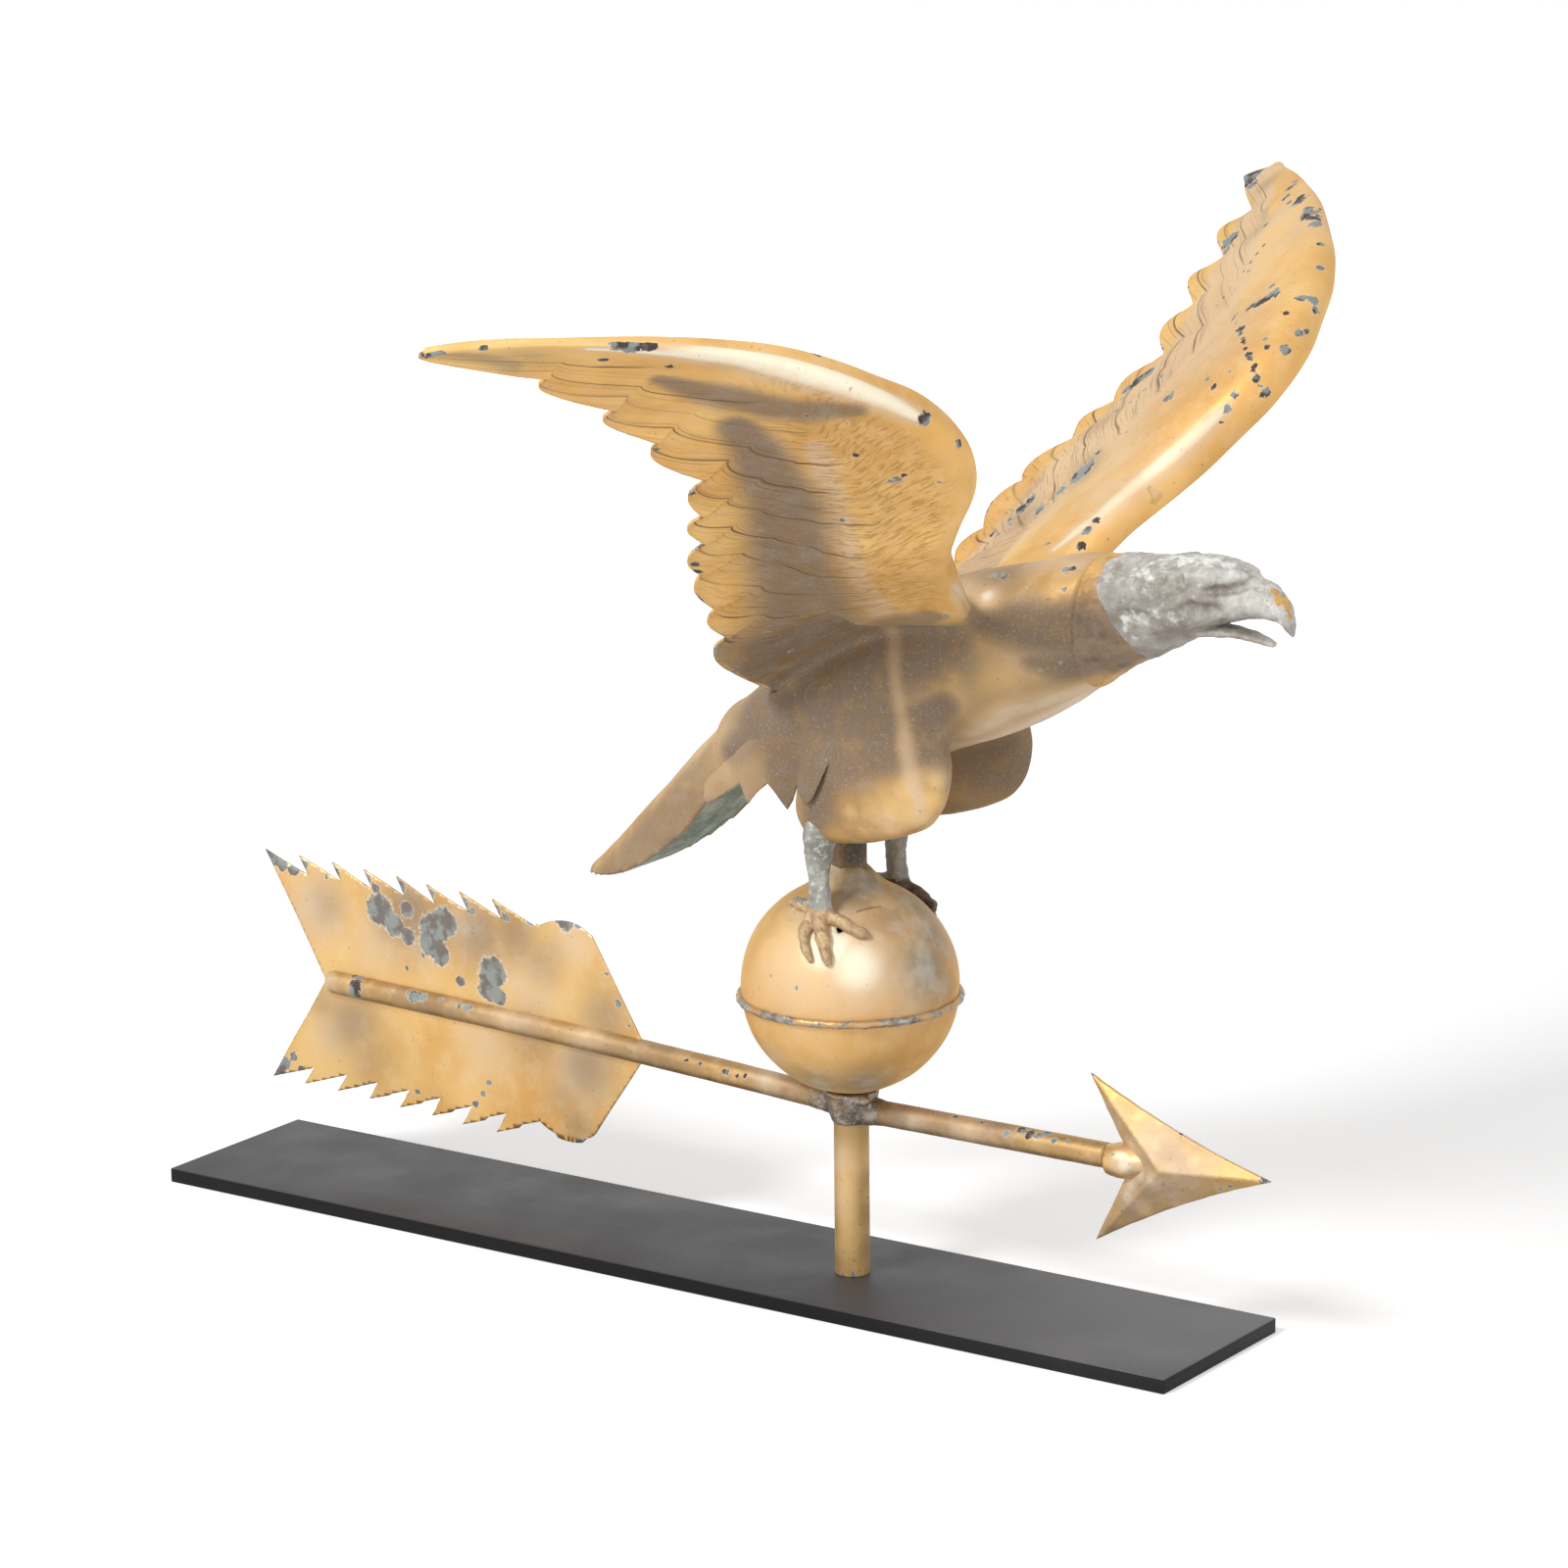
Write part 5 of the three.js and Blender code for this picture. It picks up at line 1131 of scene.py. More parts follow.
def make_wing(name, hand, under_paint, top_paint, nodes, leaf):
    knots = np.unique([row[0] for group in scallops for row in group])
    outs = np.unique(np.concatenate([np.linspace(0.085, 1, 420), knots]))
    shares = np.linspace(0, 1, 100) ** 1.4
    top, back, row, length = wing_grid(outs, shares, 1, hand)
    loops = round_rim(top, wing_grid(outs, shares, -1, hand)[0])
    wing = ring_mesh(name, loops)
    places = corners(wing)
    hammer(wing, 34 * MM, 0.5 * MM, 2.0)
    set_corners(wing, corners(wing) * (1, 0.9995, 0.9994))
    whole = np.ones_like(back)
    share_at, on_top = round_rim(whole * shares, whole * shares).ravel(), round_rim(whole,
        0 * whole).ravel() > 0.5
    out_mm = np.repeat(outs * wing_out, loops.shape[1])
    back, row = [round_rim(field, field).ravel() for field in (back, row)]
    strength = ease(back, 0.16, 0.48) * ease(out_mm, 60, 105) * (1 - 0.8 * ease(out_mm, 150, 260)
        * ease(-back, -0.5, -0.36))
    strength = np.where(on_top, strength * ease(back, 0.5, 0.6), strength)
    along = back * np.repeat(length, loops.shape[1]) * MM
    ripple = (0.25 + 0.75 * ease(-back, -0.62, -0.42)) * ease(back, 0.04, 0.14) * ease(out_mm, 55,
        110) * ease(-out_mm, -330, -230)
    ripple = np.where(on_top, ripple * 0.15, ripple)
    push_out(wing, [0.5 * MM * r * noise.noise(Vector((a * 75, k * 7, 1))) for r, a,
            k in zip(ripple, along, row)])
    store(wing, "lay", np.stack([along, row, strength], 1))
    store(wing, "ripple", ripple)
    fields = {}
    for key in ("tarnish", "pale"):
        fields[key] = np.where(on_top, soft_marks(places, top_paint[key]), soft_marks(places,
                under_paint[key]))
        for side_paint, side in ((under_paint, ~on_top), (top_paint, on_top)):
            for path, depth, soft in side_paint.get(key + "_runs", ()):
                fields[key] = np.maximum(fields[key], side * streak(places, path, depth, soft))
    fields["pale"] *= 1 - 0.8 * fields["tarnish"] * ~on_top
    chips = np.where(on_top, chip_marks(places, top_paint["chips"]), chip_marks(places, under_paint["chips"]))
    dusty = np.where(on_top, ease(back, 0.4, 0.5) * (1 - ease(back, 0.82, 0.9)) * 0.62, 0)
    waves = np.array([noise.noise(Vector(place) * 28) for place in places])
    drip = np.where(on_top, ease(waves, 0.2, 0.5) * ease(back, 0.42, 0.5) * (1 - ease(back, 0.8, 0.9)) * 0.55,
        0)
    store(wing, "tarnish", np.clip(np.maximum(fields["tarnish"], drip), 0, 1))
    store(wing, "pale", np.clip(np.maximum(fields["pale"], dusty), 0, 1))
    rim = ease(share_at, 0.965, 1) * (0.38 + 0.25 * np.sin(out_mm * 0.21) * np.sin(out_mm * 0.083 + 1))
    store(wing, "chip", np.clip(np.maximum(chips, rim), 0, 1))
    finish_piece(wing, name, "vane", nodes, leaf)
    return wing


feather_leaf = gilding("feather_gilding", feathered=True, wear=0.5, gold=(0.84, 0.55, 0.205),
    warm=(0.71, 0.41, 0.125), gloss=(0.54, 0.68))
make_wing("right_wing", -1, near_under, near_top, ["right_wing_top", "right_wing_under"], feather_leaf)
make_wing("left_wing", 1, far_under, far_top, ["left_wing_top", "left_wing_under"], feather_leaf)


# Body: raised copper sheet, in which breast, thighs, tail and wing roots run into each other
# in soft hollows. Gold is worn to brown on the side, and a pale run goes down to the thigh.
# Boxes in mm. Heights are a foot and a rise, and lengths a start and a way along x.
body_foot, body_high, body_wide, body_start, body_long = 322, 168, 57, -75, 263
tail_foot, tail_high, tail_wide, tail_start, tail_long = 243, 129, 34, -75, 120
body_curve = share_curve([(-0.02, 0.29, 0.0, 0.59), (0, 0.3, 0.0, 0.6), (0.13, 0.45, 0.02, 0.81),
    (0.28, 0.63, 0.06, 0.95), (0.43, 0.76, 0.12, 1), (0.62, 0.87, 0.23, 0.98), (0.79, 0.935, 0.335, 0.89),
    (0.91, 0.985, 0.445, 0.79), (1, 1, 0.54, 0.69), (1.05, 1, 0.58, 0.64)])
tail_curve = share_curve([(0, 1, 0.6, 1), (0.25, 0.76, 0.335, 0.94), (0.55, 0.473, 0.135, 0.82),
    (0.77, 0.256, 0.045, 0.7), (0.91, 0.13, 0.02, 0.53), (0.98, 0.075, 0.012, 0.34), (1, 0.058, 0.01, 0.24)])
thigh_curve = share_curve([(0, 0.12, 0.24, 0.2, 0.9), (0.03, 0.06, 0.45, 0.4, 0.93),
    (0.09, 0.02, 0.66, 0.58, 0.96), (0.17, 0.0, 0.85, 0.76, 0.98), (0.25, 0.01, 0.93, 0.88, 1),
    (0.38, 0.03, 0.985, 0.97, 1), (0.52, 0.06, 1, 1, 0.99), (0.66, 0.1, 0.98, 0.95, 0.95),
    (0.83, 0.15, 0.93, 0.8, 0.88), (1, 0.22, 0.84, 0.6, 0.8)])


def oval_loop(count, roundness):
    angles = np.arange(count) * 2 * math.pi / count
    wave = np.stack([np.cos(angles), np.sin(angles)], 1)
    return np.sign(wave) * np.abs(wave) ** (2 / roundness)


def barrel(x, high, low, wide, roundness):
    """Oval loops across x, between a height above and below."""
    loop = oval_loop(96, roundness)
    middle, half = (high + low)[:, None] / 2, (high - low)[:, None] / 2
    x = np.repeat(x[:, None], len(loop), 1)
    return np.stack([x, wide[:, None] * loop[:, 0], middle + half * loop[:, 1]], -1) * MM


def body_loops(shares):
    high, low, wide = body_curve(shares).T
    return barrel(shares * body_long + body_start, body_foot + high * body_high,
                  body_foot + low * body_high, wide * body_wide, 2.3)


def tail_box(shares):
    high, low, wide = tail_curve(shares).T
    return tail_foot + high * tail_high, tail_foot + low * tail_high, wide * tail_wide


def tail_loops(shares):
    high, low, wide = tail_box(shares)
    turn = np.linspace(0, math.pi, 49)
    x = tail_start - shares[:, None] * tail_long
    arch = low[:, None] + (high - low)[:, None] * np.sin(turn)
    over = np.stack([np.repeat(x, 49, 1), wide[:, None] * np.cos(turn), arch], -1)
    across = np.linspace(-0.93, 0.93, 25)
    hollow = low[:, None] + 2.6 * (1 - np.abs(across) ** 8)
    beneath = np.stack([np.repeat(x, 25, 1), wide[:, None] * across, hollow], -1)
    loops = np.concatenate([over, beneath], 1)
    loops[0, :, 0] = -60
    return loops * MM


def thigh_loops(side):
    shares = np.linspace(0, 1, 48)
    rear, front, thick, out = thigh_curve(shares).T
    foot, high, long, deep, aside = 300, 108, 111, 16, 46
    half, middle = (front - rear) / 2 * long, (front + rear) / 2 * long - 7
    loop = oval_loop(72, 2.3)
    across = side * (out * aside)[:, None] + (thick * deep)[:, None] * loop[:, 1]
    z = np.repeat((foot + high * shares)[:, None], len(loop), 1)
    return np.stack([middle[:, None] + half[:, None] * loop[:, 0], across, z], -1) * MM


def skin_tree(piece):
    mesh = bmesh.new()
    mesh.from_mesh(piece.data)
    tree = BVHTree.FromBMesh(mesh)
    mesh.free()
    return tree


def crease_weight(places, skins, widths):
    """How near each place is to the crease between its own part and the next one."""
    nearness = np.zeros((len(skins), len(places)))
    for k, skin in enumerate(skins):
        nearness[k] = [min(skin.find_nearest(Vector(place))[3], 1) / MM for place in places]
    own = nearness.argmin(0)
    weight = np.zeros(len(places))
    for k in range(len(skins)):
        others = np.where(own == k, 1e3, nearness[k])
        width = np.where(own == 0, widths[k], np.minimum(widths[k], widths[own]))
        weight = np.maximum(weight, np.clip(1 - others / width, 0, 1) ** 0.7)
    return weight


def make_body():
    parts = [ring_mesh("breast", body_loops(np.linspace(-0.02, 0.995, 70))),
             ring_mesh("tail", tail_loops(np.linspace(0, 1, 50)))]
    parts += [ring_mesh("thigh", thigh_loops(side)) for side in (-1, 1)]
    for hand in (-1, 1):
        outs = np.linspace(0.06, 0.262, 34)
        least = np.interp(outs * wing_out, [0, 66, 92, 120], [4.4, 3.6, 2.0, 0.6])
        shares = np.linspace(0, 0.985, 60) ** 1.2
        top, under = [wing_grid(outs, shares, side, hand, -0.75, least)[0] for side in (1, -1)]
        parts.append(ring_mesh("wing_root", round_rim(top, under)))
    skins = [skin_tree(part) for part in parts]
    body = melt_together(parts, 1.85 * MM, 0)
    weight = crease_weight(corners(body), skins, np.array((22, 26, 15, 15, 24, 24)))
    group = body.vertex_groups.new(name="creases")
    for level in range(1, 11):
        chosen = np.nonzero(np.round(weight * 10) == level)[0].tolist()
        group.add(chosen, level / 10, "REPLACE")
    apply_modifier(body, "SMOOTH", factor=0.5, iterations=90, vertex_group="creases")
    apply_modifier(body, "SMOOTH", factor=0.5, iterations=4)
    body.vertex_groups.clear()
    hammer(body, 40 * MM, 0.8 * MM, 5.0)
    hammer(body, 12 * MM, 0.25 * MM, 8.0)
    paint_body(body)
    leaf = gilding("body_gilding", feathered=True, wear=0.6, gold=(0.74, 0.47, 0.17),
        warm=(0.52, 0.29, 0.085), grime=((0.13, 0.09, 0.064), (0.235, 0.172, 0.122)), gloss=(0.38, 0.55),
        matt=(0.26, 0.5))
    nodes = ["body_right_half", "body_left_half", "tail_top", "right_thigh", "left_thigh"]
    finish_piece(body, "bird_body", "vane", nodes, leaf)


def body_stains(places):
    """How dull and how pale the leaf is over the body, the thighs and the tail, with a painted highlight
    along the tail's top.
    """
    x, y, z = places.T / MM
    worn = np.array([noise.noise(Vector(place) * 34) for place in places])
    dull = (0.58 + 0.5 * worn) * (0.15 + 0.85 * ease(-z - 0.25 * x, -532, -500))
    stains = [[(30, -56, 402, 36), (83, -54, 424, 30), (110, -53, 436, 22), (116, -48, 452, 12)],
        [(-34, -44, 372, 34), (12, -55, 384, 42), (60, -58, 384, 34), (84, -56, 380, 26),
            (103, -50, 397, 14)],
        [(8, -60, 312, 14), (20, -62, 334, 24), (20, -60, 352, 26), (60, -60, 362, 19), (96, -53, 366, 10)],
        [(-20, -80, 420, 34), (10, -90, 432, 34), (50, -80, 440, 30), (86, -66, 449, 16)],
        [(116, -48, 452, 14), (140, -46, 452, 18), (170, -42, 450, 22), (200, -36, 448, 30)],
        [(160, -40, 430, 10), (176, -32, 430, 18), (204, -24, 430, 26)],
        [(-34, -46, 388, 18), (-5, -50, 407, 20), (18, -52, 420, 20), (39, -52, 431, 20), (61, -54, 437, 18),
            (97, -50, 444, 14)],
        [(-30, -44, 368, 22), (-60, -36, 345, 14)],
        [(60, 58, 345, 44), (90, 45, 345, 36)],
        [(-20, 56, 390, 50), (60, 50, 420, 44)],
        [(10, 90, 432, 34), (60, 80, 440, 26)],
        [(-50, 40, 350, 40), (-150, 20, 280, 30)]]
    for path in stains:
        dull = np.maximum(dull, streak(places, path, 0.97, 0.75))
    gold = [(43, -60, 326, 9, 0.8), (58, -60, 326, 11, 1), (71, -59, 327, 12, 1), (84, -57, 329, 12, 1),
        (96, -53, 338, 12, 1), (99, -53, 350, 8, 0.9), (66, -61, 339, 8, 0.5), (82, -59, 342, 9, 0.8),
        (88, -47, 320, 8, 1), (49, -57, 314, 10, 0.9), (70, -57, 316, 16, 1), (90, -53, 326, 12, 1),
        (60, -56, 306, 12, 1), (30, -56, 304, 8, 0.7), (140, -48, 418, 16, 0.25), (178, -30, 482, 10, 0.7),
        (126, -38, 465, 10, 0.75)]
    bellies = [[(112, -31, 380, 9), (140, -36, 396, 10), (165, -26, 404, 11), (192, -10, 414, 12)],
               [(112, -12, 370, 16), (150, -10, 388, 18), (196, -4, 408, 14)]]
    belly = np.maximum(*[streak(places, path, 0.78, 0.7) for path in bellies])
    dull = dull * (1 - 0.97 * soft_marks(places, gold)) * (1 - 0.9 * belly)
    dull = np.maximum(dull, ease(-z, -330, -312) * (np.abs(y) < 44) * 0.7)
    pale = [(110, -31, 466, 13, 0.8), (127, -38, 464, 11, 0.95), (151, -8, 483, 16, 0.7),
        (177, -17, 486, 12, 0.6), (101, -48, 368, 10, 0.8), (103, -48, 355, 6, 0.9),
        (160, -22, 398, 20, 0.68), (140, -24, 384, 20, 0.68), (118, -24, 374, 16, 0.68),
        (92, -20, 364, 14, 0.6), (182, -12, 412, 18, 0.68), (164, -40, 438, 18, 0.95),
        (186, -34, 432, 16, 0.95), (-55, -40, 355, 22, 0.6), (-40, -42, 374, 18, 0.5),
        (-72, -28, 360, 16, 0.5), (85, 40, 470, 30, 0.7), (20, 40, 440, 40, 0.7), (0, 0, 430, 40, 0.6),
        (140, 30, 470, 30, 0.5), (-20, -50, 375, 3, 1), (66, -60, 320, 12, 0.4), (86, -55, 324, 12, 0.4)]
    light = soft_marks(places, pale)
    light = np.maximum(light, belly)
    tail = ease(-x, 70, 100)
    high = tail_box(np.clip((tail_start - x) / tail_long, 0, 1))[0]
    # A painted highlight along the top of the tail: less dull and paler near the ridge.
    ridge = tail * np.exp(-((high - z - 7) / 7) ** 2) * (np.abs(y) < 30)
    dull = np.maximum(dull * (1 - 0.8 * ridge), tail * 0.3 * (1 - ridge))
    dull = np.maximum(dull, ease(-x, 184, 194) * 0.9)
    light = np.maximum(light, ridge * ease(-x, 150, 100) * 0.55)
    light = np.maximum(light, tail * (0.5 + 0.5 * worn) * (1 - ridge))
    drop = [(67, -56, 447, 5), (69, -53, 434, 5.5), (71, -54, 424, 4.5), (74, -56, 404, 4),
        (76, -56, 386, 4.5), (81, -57, 368, 5.5), (86, -58, 350, 6), (90, -57, 334, 4)]
    run = streak(places, drop, 1, 0.8) * (0.42 + 0.2 * ease(-z, -400, -360))
    light = np.maximum(light * (1 - 0.6 * dull), run)
    return np.clip(dull * (1 - 0.8 * run), 0, 1), np.clip(light, 0, 1)


def paint_body(body):
    places = corners(body) / MM
    x, y, z = places.T
    dull, light = body_stains(corners(body))
    # Painted light: the upward-facing skin above the wing roots is less dull and paler.
    painted_light_on_root = ease(normals(body)[:, 2], 0.05, 0.4) * ease(np.abs(y), 44, 62) * ease(z - 0.4 * x, 416, 430)
    dull, light = dull * (1 - 0.9 * painted_light_on_root), np.maximum(light, 0.35 * painted_light_on_root)
    chips = [(118, -20, 473, 2.2), (124, -21, 474, 3.2), (131, -25, 474, 2.4), (173, -24, 483, 2.8),
        (177, -23, 484, 2.2), (178, -34, 473, 2), (154, -35, 472, 1.4), (-10, -48, 397, 1.6),
        (44, -57, 402, 1), (166, -42, 425, 1.4), (178, -39, 430, 1.2), (80, -60, 443, 2), (11, -78, 427, 2.6),
        (94, 14, 476, 4), (60, 30, 464, 4), (130, 40, 462, 3.4), (40, 10, 450, 3), (20, 50, 420, 4),
        (110, 50, 420, 4), (-100, 10, 345, 3), (-60, 30, 360, 4), (-150, 8, 296, 3), (-194, 0, 248, 6)]
    chips += chip_line((66, -62, 441), (54, -68, 440), 1.2, 8)
    store(body, "tarnish", dull)
    store(body, "pale", light)
    store(body, "chip", chip_marks(places * MM, chips))
    share = np.clip((119 - x) / 147, 0, 1)
    feathers = np.where(y < 0, ease(np.abs(y), 70, 100), ease(np.abs(y), 60, 80))
    row = feather_row(np.abs(y), share)
    store(body, "lay", np.stack([share * 150 * MM, row, feathers * 0.8], 1))


make_body()


# Tail panel: a flat under sheet pressed with five long ribs and gone green, in the tail's hollow.
def make_tail_panel():
    shares = np.linspace(0.02, 0.965, 60)
    _, low, wide = tail_box(shares)
    across = np.linspace(-1, 1, 121)
    ribs = 0.8 * np.cos((across + 1) / 2 * 5 * 2 * math.pi)
    x = np.repeat(tail_start - 0.3 - shares[:, None] * tail_long, len(across), 1)
    upper = np.stack([x, (wide - 3.4)[:, None] * across, low[:, None] + 2.2 + ribs[None, :]], -1)
    lower = upper - np.array((0, 0, 1.1))
    panel = ring_mesh("tail_panel", np.concatenate([upper[:, ::-1], lower], 1) * MM)
    hammer(panel, 9 * MM, 0.25 * MM)
    coat = Finish("green_copper")
    cloud = coat.grain(60, 4)
    fine = coat.grain(700, 3)
    colour = coat.blend(coat.reach(cloud, 0.35, 0.65), (0.19, 0.26, 0.215), (0.42, 0.47, 0.41))
    colour = coat.blend(coat.reach(fine, 0.58, 0.7, 0, 0.7), colour, (0.09, 0.07, 0.055))
    coat.wear(Base_Color=colour)
    coat.wear(Metallic=0.15)
    coat.wear(Roughness=coat.reach(fine, 0.3, 0.7, 0.6, 0.85))
    coat.bump(coat.plus(cloud, fine), 0.5)
    finish_piece(panel, "tail_ribbed_panel", "vane", ["tail_underside"], coat.material)


make_tail_panel()


# Flank feathers: a thin sheet on each side, lapped over the root of the tail and cut below
# into pointed feathers, one of them a free spike. It is let into the body along its top.
def make_flank(hand, name, node):
    skin = skin_tree(bpy.data.objects["bird_body"])
    outline = [(-86, 322), (-84, 309), (-71, 317), (-58, 326), (-53, 313), (-43, 322), (-31, 331), (-25, 325),
        (-18, 316), (-13, 322), (-8, 331), (-3, 340), (0, 338), (4, 331), (9, 326), (15, 331), (21, 341),
        (28, 357), (22, 374), (4, 388), (-18, 392), (-38, 384), (-56, 368), (-72, 350), (-82, 336)]
    sheet = cut_sheet([(x * MM, z * MM) for x, z in outline], 1.8 * MM, 0.9 * MM, name)
    step, slope = 2.0, 0.3
    xs, zs = np.arange(-92, 34, step), np.arange(396, 304, -step)
    lay = np.zeros((len(xs), len(zs)))
    for i, x in enumerate(xs):
        last = None
        for k, z in enumerate(zs):
            hit = skin.ray_cast(Vector((x * MM, hand * 0.3, z * MM)), Vector((0, -hand, 0)))[0]
            out = abs(hit.y) / MM if hit and hit.y * hand > 0.012 else 0
            last = out if last is None else max(out, last - slope * step)
            lay[i, k] = last
    places = corners(sheet)
    x, y, z = (places / MM).T
    column = np.clip((x - xs[0]) / step, 0, len(xs) - 1.001)
    row = np.clip((zs[0] - z) / step, 0, len(zs) - 1.001)
    i, k = column.astype(int), row.astype(int)
    u, v = column - i, row - k
    surface = (lay[i, k] * (1 - u) * (1 - v) + lay[i + 1, k] * u * (1 - v)
               + lay[i, k + 1] * (1 - u) * v + lay[i + 1, k + 1] * u * v)
    top = np.interp(x, [-86, -72, -56, -38, -18, 4, 22, 28], [330, 350, 368, 384, 392, 388, 374, 357])
    foot = np.interp(x, [-86, -53, -18, 28], [312, 313, 318, 345])
    down = np.clip((top - z) / (top - foot), 0, 1)
    proud = -1.8 + 3.1 * ease(down, 0.1, 0.65) + 1.4 * ease(down, 0.65, 1)
    places[:, 1] = hand * (surface + proud) * MM + y * MM
    set_corners(sheet, places)
    hammer(sheet, 16 * MM, 0.5 * MM)
    paint(sheet, chips=chip_line((-34, hand * 45, 346), (-27, hand * 47, 372), 0.8, 12)
          + chip_line((-60, hand * 40, 330), (-53, hand * 41, 348), 0.7, 9))
    dull, light = body_stains(corners(sheet))
    rear = ease(-x, 20, 55)
    store(sheet, "tarnish", np.maximum(dull * (1 - 0.3 * rear), 0.95 * (1 - rear)))
    store(sheet, "pale", np.maximum(light, 0.4 * rear))
    sheet.data.shade_smooth()
    finish_piece(sheet, name, "vane", [node], bpy.data.materials["body_gilding"])


make_flank(-1, "right_flank_sheet", "right_flank_feathers")
make_flank(1, "left_flank_sheet", "left_flank_feathers")


# Head: one rough zinc casting with a heavy brow, folded cheeks and an open hooked beak. The
# neck's gilding stops at a ragged edge, and the zinc has gone grey and chalky.
def bare_zinc(name, metal=((0.34, 0.325, 0.29), (0.6, 0.585, 0.54)),
              leaf=((0.25, 0.18, 0.126), (0.15, 0.107, 0.074), (0.36, 0.27, 0.19))):
    coat = Finish(name)
    chalk, dark, gilt, bright = [coat.field(field) for field in ("chalk", "dark", "gilt", "bright")]
    cloud = coat.grain(55, 4, 0.6)
    mottle = coat.grain(190, 5, 0.65)
    fine = coat.grain(800, 3, 0.6)
    colour = coat.blend(coat.reach(cloud, 0.36, 0.66), *metal)
    colour = coat.blend(coat.reach(mottle, 0.5, 0.68, 0, 0.65), colour, (0.8, 0.79, 0.75))
    shade = coat.times(dark, coat.reach(mottle, 0.2, 0.6, 1, 0.75))
    colour = coat.blend(shade, colour, (0.175, 0.125, 0.09))
    patch = coat.plus(chalk, coat.times(mottle, 0.9))
    white = coat.reach(patch, 0.72, 1.0)
    colour = coat.blend(coat.times(white, 0.85), colour, (0.86, 0.88, 0.84))
    edge = coat.plus(gilt, coat.times(coat.less(mottle, 0.5), 0.8))
    leafed = coat.reach(edge, 0.46, 0.54)
    skin = coat.blend(coat.reach(cloud, 0.4, 0.65), *leaf[:2])
    skin = coat.blend(coat.reach(mottle, 0.5, 0.74, 0, 0.8), skin, leaf[2])
    gold = coat.blend(coat.reach(cloud, 0.4, 0.65), (0.7, 0.44, 0.165), (0.54, 0.31, 0.1))
    skin = coat.blend(bright, skin, gold)
    colour = coat.blend(leafed, colour, skin)
    pits = coat.reach(fine, 0.62, 0.72, 0, 0.75)
    colour = coat.blend(pits, colour, (0.12, 0.09, 0.07))
    coat.wear(Base_Color=colour)
    coat.wear(Metallic=coat.reach(leafed, 0, 1, 0.28, 0.62))
    coat.wear(Roughness=coat.reach(mottle, 0.3, 0.7, 0.48, 0.72))
    height = coat.plus(coat.times(mottle, 1.3), coat.times(fine, 0.5))
    height = coat.plus(height, coat.times(white, 0.6))
    coat.bump(height, 0.75, 0.0009)
    return coat.material


head_start, head_long = 188, 126


def head_loops(table, shares):
    high, low, wide = share_curve(table)(shares).T
    return barrel(head_start + shares * head_long, body_foot + high * body_high,
                  body_foot + low * body_high, wide * body_wide, 2.15)


def fold(places, path, width, rise):
    """Raise or press a line on both cheeks. The path is in mm, seen from the side."""
    flat = places[:, [0, 2]] / MM
    away = np.full(len(flat), 1e3)
    for start, end in zip(path[:-1], path[1:]):
        a, b = np.array(start, float), np.array(end, float)
        t = np.clip(((flat - a) @ (b - a)) / ((b - a) @ (b - a)), 0, 1)
        away = np.minimum(away, np.linalg.norm(flat - (a + t[:, None] * (b - a)), axis=1))
    side = ease(np.abs(places[:, 1]) / MM, 3, 10)
    return rise * MM * np.exp(-(away / width) ** 2) * side


def seam_away(places):
    """How far forward of the ragged neck seam a place is, in mm."""
    x, z = places[:, 0] / MM, places[:, 2] / MM
    seam = np.interp(z, [412, 436, 443, 449, 455, 460, 467, 473, 479, 485, 492],
                     [226, 220, 217, 214, 210, 207, 203.5, 200, 197, 195, 198])
    rough = np.array([noise.noise(Vector((0, place[1] * 90, place[2] * 90))) for place in places])
    return x - seam + rough * 5


